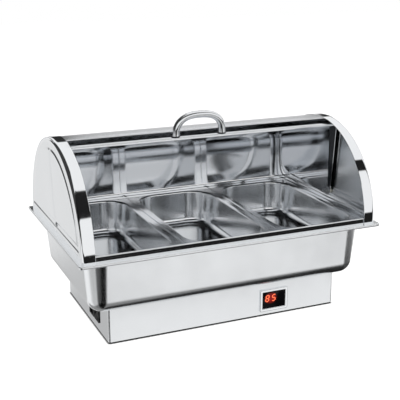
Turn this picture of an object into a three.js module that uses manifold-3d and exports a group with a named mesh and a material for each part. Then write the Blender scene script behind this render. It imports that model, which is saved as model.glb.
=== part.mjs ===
// Electric roll top chafing dish, in millimetres: +X to the right, +Y to the back, +Z up.
// The origin is on the table, under the middle of the heater base.
import * as THREE from 'three';
import { mergeVertices } from 'three/addons/utils/BufferGeometryUtils.js';
import Module from 'manifold-3d';

const wasm = await Module();
wasm.setup();

// Shared clearances and facets
const seatGap = 0.3;
const runningGap = 0.35;
const cutOverrun = 5;
const sheetSteel = 0.8;
const cornerSteps = 6;
const filletSteps = 4;
const arcSteps = 30;
const roundSides = 20;

// Heater base
const baseWidth = 434;
const baseDepth = 244;
const baseHeight = 62.5;
const baseWall = 1.2;
const baseCorner = 3;
const baseTopRim = 14;
const baseBottomLip = 26;
const footHeight = 2.5;
const footRadius = 8;
const footInset = 14;
const baseScrewRadius = 1.8;
const baseScrewHeadRadius = 3.2;
const baseScrewHead = 1.2;
const baseScrewLength = 7;

// Water pan, whose flange reaches past the cover all round
const waterFlangeSide = 19;
const waterFlangeEnd = 25.5;
const waterFlangePastCap = 7;
const waterFlangePastArc = 8;
const waterWellCorner = 34;
const waterFlangeCorner = 5;
const waterFloorDrop = 101.6;
const waterTaper = 7;
const waterFillet = 24;
const waterWall = 1;
const waterLip = 5.2;
const waterEdge = 3;

// Insert pans
const insertWidth = 176;
const insertDepth = 325;
const insertGap = 0.6;
const insertCorner = 9;
const insertFlangeSide = 14;
const insertFlangeEnd = 14.5;
const insertWellCorner = 44;
const insertFloorDrop = 65;
const insertTaper = 5;
const insertFillet = 14;
const insertWall = 0.9;
const insertLip = 1.6;
const insertEdge = 3;

// Roll top cover
const coverPastFrame = 2;
const coverCentreDrop = 2.1;
const bandWidth = 22;
const backCoverAngle = 6;
const coverHem = 2.4;
const frameHeight = 7.3;
const frontStripHeight = 2.6;
const frameWidth = 3.4;
const frameSeat = 0.6;
const insertClear = 0.6;
const stopPadWidth = 2.4;
const stopPadLength = 12;
const stopPadHeight = 3.5;
const stopPadForward = 148;

// Rolling lid
const lidClear = 1.1;
const pivotForward = 15;
const pivotHeight = 20;
const lidSideGap = 3.2;
const lidFrontAngle = 9;
const lidBackAngle = 89.5;
const apexRadius = 9;
const hemFoot = 9;
const hemHead = 18;
const hemHeadDrop = 1.5;
const barDepth = 4;
const barAngle = 5.6;

// Lid handle and its screws
const handleOffset = -13;
const handleSpan = 88;
const handleRise = 37;
const handleSquareShare = 0.77;
const handleTube = 13;
const handleAngle = 6.1;
const handleSteps = 22;
const handleSides = 12;
const handleScrewRadius = 2;
const handleScrewHeadRadius = 3.8;
const handleScrewHead = 2;
const handleScrewBite = 8;

// Lid pivots
const pinRadius = 3;
const pinHeadRadius = 4.6;
const pinHead = 1.8;
const washerRadius = 6.5;
const nutRadius = 5.2;
const nutLength = 3;
const nutSides = 6;

// Display on the front of the base
const displayX = 93.5;
const displayZ = 29.5;
const windowWidth = 45;
const windowHeight = 31;
const windowThick = 2;
const windowSink = 0.6;
const bezelBorder = 5.5;
const bezelProud = 3;
const sleeveWall = 2;
const sleeveDepth = 10;
const digitWidth = 9;
const digitHeight = 15.5;
const digitStroke = 2.2;
const digitSlant = 2.2;
const digitThick = 0.3;
const digitPitch = 13;
const digitsLeft = 8.7;
const digitsRaise = 3.5;

// Rocker switch and power inlet on the left of the base
const switchY = -58.5;
const switchZ = 32;
const switchWidth = 26;
const switchHeight = 31;
const switchProud = 1.8;
const switchBorder = 3;
const switchBody = 22;
const rockerAngle = 7;
const rockerBack = 9;
const rockerPeak = 3;
const rockerValley = 1.4;
const inletY = -29;
const inletZ = 32;
const inletWidth = 27;
const inletHeight = 32;
const inletProud = 1.6;
const inletBody = 24;
const socketWidth = 17;
const socketHeight = 25;
const socketDepth = 15;
const bladeWidth = 2;
const bladeHeight = 4;
const bladeLength = 18;
const bladeSpread = 7;

// Heater, probe, board and wiring inside the base
const heaterInsetSide = 67;
const heaterInsetEnd = 37;
const heaterPlateThick = 6;
const elementTube = 8;
const elementInset = 30;
const elementSides = 8;
const elementSteps = 44;
const bridgeWidth = 22;
const bridgeInsetEnd = 15;
const bridgeFoot = 16;
const bridgeSheet = 1.6;
const bridgeInsetSide = 65;
const probeRadius = 3;
const probeLength = 46;
const boardWidth = 96;
const boardHeight = 46;
const boardThick = 1.6;
const boardStandoff = 17;
const standoffRadius = 3;
const standoffInset = 6;
const relaySize = [19, 15, 16];
const relayOffset = 22;
const transformerSize = [32, 24, 28];
const transformerOffset = -24;
const terminalSize = [18, 52, 16];
const terminalInset = 41;

const steelSatin = { color: 0xd4d6d8, roughness: 0.32, metalness: 1 };
const steelMirror = { color: 0xdadcdf, roughness: 0.08, metalness: 1 };
const steelBright = { color: 0xcfd1d4, roughness: 0.2, metalness: 1 };
const zincPlate = { color: 0xb4b6b8, roughness: 0.4, metalness: 1 };
const castAluminium = { color: 0xa9abad, roughness: 0.55, metalness: 1 };
const blackPlastic = { color: 0x15161a, roughness: 0.45, metalness: 0 };
const blackRubber = { color: 0x1b1b1c, roughness: 0.9, metalness: 0 };
const paleNylon = { color: 0xe6e4dc, roughness: 0.5, metalness: 0 };
const smokedLens = { color: 0x0b0b0d, roughness: 0.08, metalness: 0 };
const redGlow = { color: 0xff4a22, roughness: 0.4, metalness: 0 };
const boardGreen = { color: 0x1f5a34, roughness: 0.5, metalness: 0 };
const brassPin = { color: 0xc8a24a, roughness: 0.3, metalness: 1 };

const dish = new THREE.Group();

function addPart(name, geometry, finish) {
  const mesh = new THREE.Mesh(geometry, new THREE.MeshStandardMaterial(finish));
  mesh.name = name;
  dish.add(mesh);
  return mesh;
}

function radians(degrees) {
  return THREE.MathUtils.degToRad(degrees);
}

// The same surface with its corners shared between faces
function weld(geometry) {
  const bare = geometry.index ? geometry.toNonIndexed() : geometry.clone();
  bare.deleteAttribute('normal');
  bare.deleteAttribute('uv');
  return mergeVertices(bare, 1e-4);
}

function toSolid(geometry) {
  const closed = weld(geometry);
  return new wasm.Manifold(new wasm.Mesh({
    numProp: 3,
    vertProperties: new Float32Array(closed.attributes.position.array),
    triVerts: new Uint32Array(closed.index.array),
  }));
}

function toGeometry(solid) {
  const mesh = solid.getMesh();
  const geometry = new THREE.BufferGeometry();
  geometry.setAttribute('position', new THREE.BufferAttribute(new Float32Array(mesh.vertProperties), 3));
  geometry.setIndex(new THREE.BufferAttribute(new Uint32Array(mesh.triVerts), 1));
  return geometry;
}

function cut(body, ...tools) {
  return toGeometry(tools.reduce((solid, tool) => solid.subtract(toSolid(tool)), toSolid(body)));
}

function join(...bodies) {
  return toGeometry(bodies.slice(1).reduce((solid, body) => solid.add(toSolid(body)), toSolid(bodies[0])));
}

// A box between two corners
function block(x0, x1, y0, y1, z0, z1) {
  const box = new THREE.BoxGeometry(x1 - x0, y1 - y0, z1 - z0);
  return box.translate((x0 + x1) / 2, (y0 + y1) / 2, (z0 + z1) / 2);
}

// A cylinder from one point towards another
function rod(from, to, radius, sides = roundSides) {
  const axis = new THREE.Vector3().subVectors(to, from);
  const cylinder = new THREE.CylinderGeometry(radius, radius, axis.length(), sides);
  const way = axis.clone().normalize();
  cylinder.applyQuaternion(new THREE.Quaternion().setFromUnitVectors(new THREE.Vector3(0, 1, 0), way));
  const middle = new THREE.Vector3().addVectors(from, to).multiplyScalar(0.5);
  return cylinder.translate(middle.x, middle.y, middle.z);
}

// A side outline in Y and Z, carried along X from x0 to x1
function alongX(shape, x0, x1) {
  const settings = { depth: x1 - x0, bevelEnabled: false, curveSegments: arcSteps };
  const body = new THREE.ExtrudeGeometry(shape, settings);
  const axes = new THREE.Matrix4().makeBasis(
    new THREE.Vector3(0, 1, 0),
    new THREE.Vector3(0, 0, 1),
    new THREE.Vector3(1, 0, 0),
  );
  return body.applyMatrix4(axes).translate(x0, 0, 0);
}

// A plan outline in X and Y, raised from z0 to z1
function upright(shape, z0, z1, segments = cornerSteps) {
  const settings = { depth: z1 - z0, bevelEnabled: false, curveSegments: segments };
  const body = new THREE.ExtrudeGeometry(shape, settings);
  return body.translate(0, 0, z0);
}

function roundedPlan(width, depth, radius) {
  const x = width / 2;
  const y = depth / 2;
  const shape = new THREE.Shape();
  shape.moveTo(-x + radius, -y);
  shape.lineTo(x - radius, -y);
  shape.absarc(x - radius, -y + radius, radius, -Math.PI / 2, 0);
  shape.absarc(x - radius, y - radius, radius, 0, Math.PI / 2);
  shape.absarc(-x + radius, y - radius, radius, Math.PI / 2, Math.PI);
  shape.absarc(-x + radius, -y + radius, radius, Math.PI, 1.5 * Math.PI);
  return shape;
}

// One ring of a drawn pan: a rounded rectangle at height z
function planRing(halfX, halfY, radius, z) {
  const points = [];
  const quarters = [[1, -1, -90], [1, 1, 0], [-1, 1, 90], [-1, -1, 180]];
  for (const [sideX, sideY, start] of quarters) {
    for (let step = 0; step <= cornerSteps; step += 1) {
      const angle = radians(start + 90 * step / cornerSteps);
      const x = sideX * (halfX - radius) + radius * Math.cos(angle);
      const y = sideY * (halfY - radius) + radius * Math.sin(angle);
      points.push([x, y, z]);
    }
  }
  return points;
}

// Rings joined side by side, with the first and last ring closed flat
function loft(rings) {
  const count = rings[0].length;
  const positions = rings.flat(2);
  const faces = [];
  for (let level = 0; level + 1 < rings.length; level += 1) {
    for (let i = 0; i < count; i += 1) {
      const a = level * count + i;
      const b = level * count + (i + 1) % count;
      faces.push(a, a + count, b, b, a + count, b + count);
    }
  }
  const last = (rings.length - 1) * count;
  for (let i = 1; i + 1 < count; i += 1) {
    faces.push(0, i, i + 1);
    faces.push(last, last + i + 1, last + i);
  }
  const geometry = new THREE.BufferGeometry();
  geometry.setAttribute('position', new THREE.Float32BufferAttribute(positions, 3));
  geometry.setIndex(faces);
  return geometry;
}

// A pan drawn from one sheet: floor, filleted corner, leaning wall, flange and turned-down lip
function drawnPan(pan) {
  const floorZ = pan.flangeTop - pan.floorDrop;
  const halfX = pan.wellWidth / 2;
  const halfY = pan.wellDepth / 2;
  const ring = (offset, z) => planRing(
    halfX + offset, halfY + offset, Math.max(pan.wellCorner + offset, pan.wall), z);
  const rim = (inset, z) => planRing(
    pan.flangeWidth / 2 - inset, pan.flangeDepth / 2 - inset,
    Math.max(pan.flangeCorner - inset, pan.wall / 2), z);
  const filletRings = (radius, bottom, outset) => {
    const rings = [];
    for (let step = 0; step <= filletSteps; step += 1) {
      const angle = radians(90 * step / filletSteps);
      const offset = outset - pan.taper - radius + radius * Math.sin(angle);
      rings.push(ring(offset, bottom + radius * (1 - Math.cos(angle))));
    }
    return rings;
  };
  const inner = filletRings(pan.fillet, floorZ, 0);
  const outer = filletRings(pan.fillet + pan.wall, floorZ - pan.wall, pan.wall);
  return loft([
    ...inner,
    ring(0, pan.flangeTop - pan.edge),
    ring(pan.edge / 3, pan.flangeTop - pan.edge / 3),
    ring(pan.edge, pan.flangeTop),
    rim(0, pan.flangeTop),
    rim(0, pan.flangeTop - pan.lip),
    rim(pan.wall, pan.flangeTop - pan.lip),
    rim(pan.wall, pan.flangeTop - pan.wall),
    ring(pan.edge + pan.wall, pan.flangeTop - pan.wall),
    ring(pan.wall, pan.flangeTop - pan.edge - pan.wall),
    ...outer.reverse(),
  ]);
}

// Heater base
const wallFront = -baseDepth / 2;
const wallLeft = -baseWidth / 2;
const terminalX = wallLeft + terminalInset;
const baseFloor = footHeight;
const heaterPlateWidth = baseWidth - 2 * heaterInsetSide;
const heaterPlateDepth = baseDepth - 2 * heaterInsetEnd;
const elementHalfLength = heaterPlateWidth / 2 - elementInset;
const elementHalfWidth = heaterPlateDepth / 2 - elementInset;
const bridgeSpan = heaterPlateDepth - 2 * bridgeInsetEnd;
const bridgeSpacing = heaterPlateWidth - 2 * bridgeInsetSide;

function screwPlaces() {
  const x = baseWidth / 2 - footInset;
  const y = baseDepth / 2 - footInset;
  return [[-x, 0], [x, 0], [0, -y], [0, y]];
}

function makeBaseHousing() {
  const shell = upright(roundedPlan(baseWidth, baseDepth, baseCorner), baseFloor, baseHeight);
  const room = upright(
    roundedPlan(baseWidth - 2 * baseWall, baseDepth - 2 * baseWall, baseCorner - baseWall),
    baseFloor + baseWall, baseHeight - baseWall);
  const mouth = upright(
    roundedPlan(baseWidth - 2 * baseTopRim, baseDepth - 2 * baseTopRim, baseCorner),
    baseHeight - baseWall - cutOverrun, baseHeight + cutOverrun);
  const underside = upright(
    roundedPlan(baseWidth - 2 * baseBottomLip, baseDepth - 2 * baseBottomLip, baseCorner),
    baseFloor - cutOverrun, baseFloor + baseWall + cutOverrun);
  const display = block(
    displayX - windowWidth / 2 - sleeveWall - seatGap, displayX + windowWidth / 2 + sleeveWall + seatGap,
    wallFront - cutOverrun, wallFront + baseWall + cutOverrun,
    displayZ - windowHeight / 2 - sleeveWall - seatGap, displayZ + windowHeight / 2 + sleeveWall + seatGap);
  const switchHalfWidth = (switchWidth - switchBorder) / 2 + seatGap;
  const switchHalfHeight = (switchHeight - switchBorder) / 2 + seatGap;
  const switchHole = block(
    wallLeft - cutOverrun, wallLeft + baseWall + cutOverrun,
    switchY - switchHalfWidth, switchY + switchHalfWidth,
    switchZ - switchHalfHeight, switchZ + switchHalfHeight);
  const inletWall = (inletWidth - socketWidth) / 4;
  const inletHole = block(
    wallLeft - cutOverrun, wallLeft + baseWall + cutOverrun,
    inletY - socketWidth / 2 - inletWall - seatGap, inletY + socketWidth / 2 + inletWall + seatGap,
    inletZ - socketHeight / 2 - inletWall - seatGap, inletZ + socketHeight / 2 + inletWall + seatGap);
  const screwHoles = screwPlaces().map(([x, y]) => rod(
    new THREE.Vector3(x, y, baseFloor - cutOverrun), new THREE.Vector3(x, y, baseFloor + cutOverrun),
    baseScrewRadius + runningGap));
  return cut(shell, room, mouth, underside, display, switchHole, inletHole, ...screwHoles);
}

function makeBottomPlate() {
  const inset = 2 * (baseWall + seatGap);
  const plate = upright(
    roundedPlan(baseWidth - inset, baseDepth - inset, baseCorner - baseWall),
    baseFloor + baseWall, baseFloor + 2 * baseWall);
  const holes = screwPlaces().map(([x, y]) => rod(
    new THREE.Vector3(x, y, baseFloor - cutOverrun), new THREE.Vector3(x, y, baseFloor + 2 * cutOverrun),
    baseScrewRadius + runningGap));
  return cut(plate, ...holes);
}

function makeBottomScrew([x, y]) {
  const head = rod(
    new THREE.Vector3(x, y, baseFloor - baseScrewHead),
    new THREE.Vector3(x, y, baseFloor), baseScrewHeadRadius);
  const shank = rod(
    new THREE.Vector3(x, y, baseFloor - baseScrewHead / 2),
    new THREE.Vector3(x, y, baseFloor + baseScrewLength), baseScrewRadius);
  return join(head, shank);
}

function footPlaces() {
  const x = baseWidth / 2 - footInset;
  const y = baseDepth / 2 - footInset;
  return [[-x, -y], [x, -y], [-x, y], [x, y]];
}

addPart('base_housing', makeBaseHousing(), steelSatin);
addPart('bottom_plate', makeBottomPlate(), zincPlate);
screwPlaces().forEach((place, index) => addPart(
  `bottom_screw_${index + 1}`, makeBottomScrew(place), zincPlate));
footPlaces().forEach(([x, y], index) => addPart(`foot_${index + 1}`, rod(
  new THREE.Vector3(x, y, 0), new THREE.Vector3(x, y, baseFloor), footRadius), blackRubber));

// Heater, which presses up under the water pan
const heaterTop = baseHeight - seatGap;
const heaterBottom = heaterTop - heaterPlateThick;
const elementZ = heaterBottom - seatGap - elementTube / 2;
const bridgeTop = elementZ - elementTube / 2 - seatGap;
const floorTop = baseFloor + 2 * baseWall;

class LoopCurve extends THREE.Curve {
  // A hairpin: out along one side, round the end and back along the other
  getPoint(t, target = new THREE.Vector3()) {
    const straight = 2 * elementHalfLength;
    const bend = Math.PI * elementHalfWidth;
    const travel = t * (2 * straight + bend);
    if (travel < straight) {
      return target.set(-elementHalfLength + travel, -elementHalfWidth, elementZ);
    }
    if (travel > straight + bend) {
      return target.set(elementHalfLength - (travel - straight - bend), elementHalfWidth, elementZ);
    }
    const angle = (travel - straight) / elementHalfWidth - Math.PI / 2;
    const reach = elementHalfWidth * Math.cos(angle) / 2;
    return target.set(elementHalfLength + reach, elementHalfWidth * Math.sin(angle), elementZ);
  }
}

function circleShape(radius, sides) {
  const shape = new THREE.Shape();
  for (let i = 0; i < sides; i += 1) {
    const angle = 2 * Math.PI * i / sides;
    if (i === 0) {
      shape.moveTo(radius, 0);
    } else {
      shape.lineTo(radius * Math.cos(angle), radius * Math.sin(angle));
    }
  }
  shape.closePath();
  return shape;
}

function tube(path, radius, steps, sides) {
  const settings = { steps, extrudePath: path, bevelEnabled: false };
  return new THREE.ExtrudeGeometry(circleShape(radius, sides), settings);
}

function makeBridge(x) {
  const half = bridgeSpan / 2;
  const outer = new THREE.Shape();
  outer.moveTo(-half - bridgeFoot, floorTop);
  outer.lineTo(-half + bridgeSheet, floorTop);
  outer.lineTo(-half + bridgeSheet, bridgeTop - bridgeSheet);
  outer.lineTo(half - bridgeSheet, bridgeTop - bridgeSheet);
  outer.lineTo(half - bridgeSheet, floorTop);
  outer.lineTo(half + bridgeFoot, floorTop);
  outer.lineTo(half + bridgeFoot, floorTop + bridgeSheet);
  outer.lineTo(half, floorTop + bridgeSheet);
  outer.lineTo(half, bridgeTop);
  outer.lineTo(-half, bridgeTop);
  outer.lineTo(-half, floorTop + bridgeSheet);
  outer.lineTo(-half - bridgeFoot, floorTop + bridgeSheet);
  outer.closePath();
  return alongX(outer, x - bridgeWidth / 2, x + bridgeWidth / 2);
}

addPart('heater_plate', block(
  -heaterPlateWidth / 2, heaterPlateWidth / 2, -heaterPlateDepth / 2, heaterPlateDepth / 2,
  heaterBottom, heaterTop), castAluminium);
addPart('heating_element', tube(new LoopCurve(), elementTube / 2, elementSteps, elementSides), steelBright);
addPart('heater_bridge_left', makeBridge(-bridgeSpacing / 2), zincPlate);
addPart('heater_bridge_right', makeBridge(bridgeSpacing / 2), zincPlate);
addPart('temperature_probe', rod(
  new THREE.Vector3(bridgeSpacing / 2 - probeLength / 2, 0, bridgeTop + seatGap + probeRadius),
  new THREE.Vector3(bridgeSpacing / 2 + probeLength / 2, 0, bridgeTop + seatGap + probeRadius),
  probeRadius), steelBright);

// Display, control board and wiring block
const windowFront = wallFront - bezelProud + windowSink;

function makeBezel() {
  const halfX = windowWidth / 2;
  const halfZ = windowHeight / 2;
  const flange = block(
    displayX - halfX - bezelBorder, displayX + halfX + bezelBorder, wallFront - bezelProud, wallFront,
    displayZ - halfZ - bezelBorder, displayZ + halfZ + bezelBorder);
  const sleeve = block(
    displayX - halfX - sleeveWall, displayX + halfX + sleeveWall, wallFront - bezelProud / 2,
    wallFront + sleeveDepth, displayZ - halfZ - sleeveWall, displayZ + halfZ + sleeveWall);
  const opening = block(
    displayX - halfX, displayX + halfX, wallFront - cutOverrun, wallFront + sleeveDepth + cutOverrun,
    displayZ - halfZ, displayZ + halfZ);
  return cut(join(flange, sleeve), opening);
}

// Strokes of a digit, each in half widths and half heights of the digit
const strokeEndShares = {
  top: [-1, 1, 1, 1],
  middle: [-1, 0, 1, 0],
  bottom: [-1, -1, 1, -1],
  upperLeft: [-1, 0, -1, 1],
  upperRight: [1, 0, 1, 1],
  lowerLeft: [-1, -1, -1, 0],
  lowerRight: [1, -1, 1, 0],
};
const shownStrokes = [
  ['top', 'middle', 'bottom', 'upperLeft', 'upperRight', 'lowerLeft', 'lowerRight'],
  ['top', 'middle', 'bottom', 'upperLeft', 'lowerRight'],
];

function makeStroke(centreX, [u0, v0, u1, v1]) {
  const halfWidth = (digitWidth - digitStroke) / 2;
  const halfHeight = (digitHeight - digitStroke) / 2;
  const half = digitStroke / 2;
  const centreZ = displayZ + digitsRaise;
  const bar = block(
    u0 * halfWidth - half, u1 * halfWidth + half, windowFront - digitThick, windowFront,
    centreZ + v0 * halfHeight - half, centreZ + v1 * halfHeight + half);
  const lean = digitSlant / digitHeight;
  const position = bar.attributes.position;
  for (let i = 0; i < position.count; i += 1) {
    const shift = centreX + lean * (position.getZ(i) - centreZ);
    position.setX(i, position.getX(i) + shift);
  }
  return bar;
}

function makeDigit(names, index) {
  const centreX = displayX - windowWidth / 2 + digitsLeft + index * digitPitch;
  return join(...names.map((name) => makeStroke(centreX, strokeEndShares[name])));
}

addPart('display_bezel', makeBezel(), steelMirror);
addPart('display_window', block(
  displayX - windowWidth / 2 + seatGap, displayX + windowWidth / 2 - seatGap,
  windowFront, windowFront + windowThick,
  displayZ - windowHeight / 2 + seatGap, displayZ + windowHeight / 2 - seatGap), smokedLens);
shownStrokes.forEach((names, index) => addPart(
  `display_digit_${index + 1}`, makeDigit(names, index), redGlow));

const boardFront = wallFront + baseWall + boardStandoff;
const boardBack = boardFront + boardThick;
addPart('control_board', block(
  displayX - boardWidth / 2, displayX + boardWidth / 2, boardFront, boardBack,
  displayZ - boardHeight / 2, displayZ + boardHeight / 2), boardGreen);

function standoffPlaces() {
  const x = boardWidth / 2 - standoffInset;
  const z = boardHeight / 2 - standoffInset;
  return [[-x, -z], [x, -z], [-x, z], [x, z]];
}

function onBoard(size, offset) {
  return block(
    displayX + offset - size[0] / 2, displayX + offset + size[0] / 2, boardBack, boardBack + size[1],
    displayZ - size[2] / 2, displayZ + size[2] / 2);
}

standoffPlaces().forEach(([x, z], index) => addPart(`board_standoff_${index + 1}`, rod(
  new THREE.Vector3(displayX + x, wallFront + baseWall, displayZ + z),
  new THREE.Vector3(displayX + x, boardFront, displayZ + z), standoffRadius), paleNylon));
addPart('board_relay', onBoard(relaySize, relayOffset), blackPlastic);
addPart('board_transformer', onBoard(transformerSize, transformerOffset), castAluminium);
addPart('terminal_block', block(
  terminalX - terminalSize[0] / 2, terminalX + terminalSize[0] / 2,
  -terminalSize[1] / 2, terminalSize[1] / 2,
  floorTop, floorTop + terminalSize[2]), paleNylon);

// Rocker switch
const rockerHalfHeight = switchHeight / 2 - switchBorder;
const rockerHalfWidth = switchWidth / 2 - switchBorder;

function makeSwitchBody() {
  const frame = block(
    wallLeft - switchProud, wallLeft, switchY - switchWidth / 2, switchY + switchWidth / 2,
    switchZ - switchHeight / 2, switchZ + switchHeight / 2);
  const box = block(
    wallLeft - switchProud / 2, wallLeft + switchBody,
    switchY - switchWidth / 2 + switchBorder / 2, switchY + switchWidth / 2 - switchBorder / 2,
    switchZ - switchHeight / 2 + switchBorder / 2, switchZ + switchHeight / 2 - switchBorder / 2);
  const well = block(
    wallLeft - cutOverrun, wallLeft + rockerBack + 3 * runningGap,
    switchY - rockerHalfWidth, switchY + rockerHalfWidth,
    switchZ - rockerHalfHeight, switchZ + rockerHalfHeight);
  return cut(join(frame, box), well);
}

// The rocker is drawn level about its axle and then tipped to its ON side
function makeRocker() {
  const reach = rockerHalfHeight - 3 * runningGap;
  const shape = new THREE.Shape();
  shape.moveTo(reach, -rockerPeak);
  shape.quadraticCurveTo(reach / 2, -rockerValley, 0, -rockerValley);
  shape.quadraticCurveTo(-reach / 2, -rockerValley, -reach, -rockerPeak);
  shape.lineTo(-reach, rockerBack / 4);
  shape.lineTo(-reach / 2, rockerBack - rockerPeak);
  shape.lineTo(reach / 2, rockerBack - rockerPeak);
  shape.lineTo(reach, rockerBack / 4);
  shape.closePath();
  const half = rockerHalfWidth - runningGap;
  const settings = { depth: 2 * half, bevelEnabled: false, curveSegments: cornerSteps };
  const body = new THREE.ExtrudeGeometry(shape, settings);
  body.translate(0, 0, -half);
  const axes = new THREE.Matrix4().makeBasis(
    new THREE.Vector3(0, 0, 1),
    new THREE.Vector3(1, 0, 0),
    new THREE.Vector3(0, 1, 0),
  );
  return body.applyMatrix4(axes);
}

addPart('switch_body', makeSwitchBody(), blackPlastic);
const rocker = addPart('switch_rocker', makeRocker(), blackPlastic);
rocker.rotation.y = radians(rockerAngle);
rocker.position.set(wallLeft + rockerPeak / 2, switchY, switchZ);

// Power inlet
function makeInlet() {
  const border = (inletWidth - socketWidth) / 4;
  const flange = block(
    wallLeft - inletProud, wallLeft, inletY - inletWidth / 2, inletY + inletWidth / 2,
    inletZ - inletHeight / 2, inletZ + inletHeight / 2);
  const box = block(
    wallLeft - inletProud / 2, wallLeft + inletBody,
    inletY - socketWidth / 2 - border, inletY + socketWidth / 2 + border,
    inletZ - socketHeight / 2 - border, inletZ + socketHeight / 2 + border);
  const socket = block(
    wallLeft - cutOverrun, wallLeft + socketDepth, inletY - socketWidth / 2, inletY + socketWidth / 2,
    inletZ - socketHeight / 2, inletZ + socketHeight / 2);
  const slots = bladePlaces().map(([y, z]) => block(
    wallLeft + socketDepth - cutOverrun, wallLeft + inletBody + cutOverrun,
    y - bladeWidth / 2 - seatGap, y + bladeWidth / 2 + seatGap,
    z - bladeHeight / 2 - seatGap, z + bladeHeight / 2 + seatGap));
  return cut(join(flange, box), socket, ...slots);
}

function bladePlaces() {
  const side = inletY - bladeSpread / 2;
  return [[inletY, inletZ], [side, inletZ - bladeSpread], [side, inletZ + bladeSpread]];
}

function makeBlade([y, z]) {
  const start = wallLeft + socketDepth / 3;
  return block(
    start, start + bladeLength + socketDepth / 2, y - bladeWidth / 2, y + bladeWidth / 2,
    z - bladeHeight / 2, z + bladeHeight / 2);
}

addPart('power_inlet', makeInlet(), blackPlastic);
bladePlaces().forEach((place, index) => addPart(`inlet_blade_${index + 1}`, makeBlade(place), brassPin));

// The row of insert pans sets the frame round it, then the cover and the flange of the water pan
const insertNames = ['insert_pan_left', 'insert_pan_centre', 'insert_pan_right'];
const insertPitch = insertWidth + insertGap;
const rowWidth = (insertNames.length - 1) * insertPitch + insertWidth;
const frameOuterX = rowWidth / 2 + insertClear + frameWidth;
const frameOuterY = insertDepth / 2 + insertClear + frameWidth;
const capInner = frameOuterX + frameSeat;
const coverWidth = 2 * (capInner + sheetSteel);
const coverRadius = frameOuterY + coverPastFrame;
const waterFlangeWidth = coverWidth + 2 * waterFlangePastCap;
const waterFlangeDepth = 2 * (coverRadius + waterFlangePastArc);

// Water pan, which stands on the rim of the base
const waterBottom = baseHeight;
const flangeTop = waterBottom + waterWall + waterFloorDrop;

addPart('water_pan', drawnPan({
  flangeTop,
  floorDrop: waterFloorDrop,
  wellWidth: waterFlangeWidth - 2 * waterFlangeSide,
  wellDepth: waterFlangeDepth - 2 * waterFlangeEnd,
  wellCorner: waterWellCorner,
  flangeWidth: waterFlangeWidth,
  flangeDepth: waterFlangeDepth,
  flangeCorner: waterFlangeCorner,
  taper: waterTaper,
  fillet: waterFillet,
  wall: waterWall,
  lip: waterLip,
  edge: waterEdge,
}), steelSatin);

// Insert pans, whose flanges lie on the flange of the water pan
const insertFlangeTop = flangeTop + insertLip;

for (let index = 0; index < insertNames.length; index += 1) {
  const pan = addPart(insertNames[index], drawnPan({
    flangeTop: insertFlangeTop,
    floorDrop: insertFloorDrop,
    wellWidth: insertWidth - 2 * insertFlangeSide,
    wellDepth: insertDepth - 2 * insertFlangeEnd,
    wellCorner: insertWellCorner,
    flangeWidth: insertWidth,
    flangeDepth: insertDepth,
    flangeCorner: insertCorner,
    taper: insertTaper,
    fillet: insertFillet,
    wall: insertWall,
    lip: insertLip,
    edge: insertEdge,
  }), steelBright);
  pan.position.x = (index - (insertNames.length - 1) / 2) * insertPitch;
}

// Roll top cover: a frame that drops round the insert pans, two end caps and the fixed back cover
const coverCentre = flangeTop - coverCentreDrop;
const bandInner = coverWidth / 2 - bandWidth;
const backCoverRadius = coverRadius - sheetSteel - seatGap;
const frameTop = flangeTop + frameHeight;
const pivotY = -pivotForward;
const pivotZ = flangeTop + pivotHeight;

// The lid passes just under the folded edge of the back cover
const lidReach = backCoverRadius - 2 * sheetSteel - lidClear;
const lidRadius = lidReach - Math.hypot(pivotForward, pivotHeight + coverCentreDrop);

// The D outline of an end cap, closed along its foot
function capOutline(radius, foot) {
  const shape = new THREE.Shape();
  const lowest = Math.asin((foot - coverCentre) / radius);
  shape.absarc(0, coverCentre, radius, lowest, Math.PI - lowest);
  shape.closePath();
  return shape;
}

// A cap is a D plate with a band turned in round its arc
function makeCap() {
  const dome = alongX(capOutline(coverRadius, flangeTop), bandInner, coverWidth / 2);
  const reach = coverRadius - sheetSteel;
  const hollow = new THREE.Shape();
  hollow.absarc(0, coverCentre, reach, 0, Math.PI);
  hollow.lineTo(-reach, coverCentre - cutOverrun);
  hollow.lineTo(reach, coverCentre - cutOverrun);
  hollow.closePath();
  const room = alongX(hollow, bandInner - cutOverrun, capInner);
  const pinHole = rod(
    new THREE.Vector3(capInner - cutOverrun, pivotY, pivotZ),
    new THREE.Vector3(capInner + cutOverrun, pivotY, pivotZ), pinRadius + runningGap);
  return cut(dome, room, pinHole);
}

function mirrored(geometry) {
  const solid = toSolid(geometry);
  return toGeometry(solid.mirror([1, 0, 0]));
}

// A rectangular frame of folded sheet, open underneath
function makeCoverFrame() {
  const frameBlock = (inset, z0, z1) => block(
    -frameOuterX + inset, frameOuterX - inset, -frameOuterY + inset, frameOuterY - inset, z0, z1);
  const channel = cut(
    frameBlock(sheetSteel, flangeTop - cutOverrun, frameTop - sheetSteel),
    frameBlock(frameWidth - sheetSteel, flangeTop - 2 * cutOverrun, frameTop + cutOverrun));
  const bar = cut(
    frameBlock(0, flangeTop, frameTop),
    frameBlock(frameWidth, flangeTop - cutOverrun, frameTop + cutOverrun));
  return cut(bar, channel);
}

// The bright strip along the top of the frame's front side
function makeFrontStrip() {
  const z0 = frameTop + seatGap;
  return block(
    -frameOuterX, frameOuterX, -frameOuterY, -frameOuterY + frameWidth, z0, z0 + frontStripHeight);
}

// Rubber pads on the sides of the frame, which the closed lid comes down to
function makeStopPad() {
  const middle = frameOuterX - frameWidth / 2;
  return block(
    middle - stopPadWidth / 2, middle + stopPadWidth / 2, -stopPadForward - stopPadLength / 2,
    -stopPadForward + stopPadLength / 2, frameTop, frameTop + stopPadHeight);
}

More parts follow.
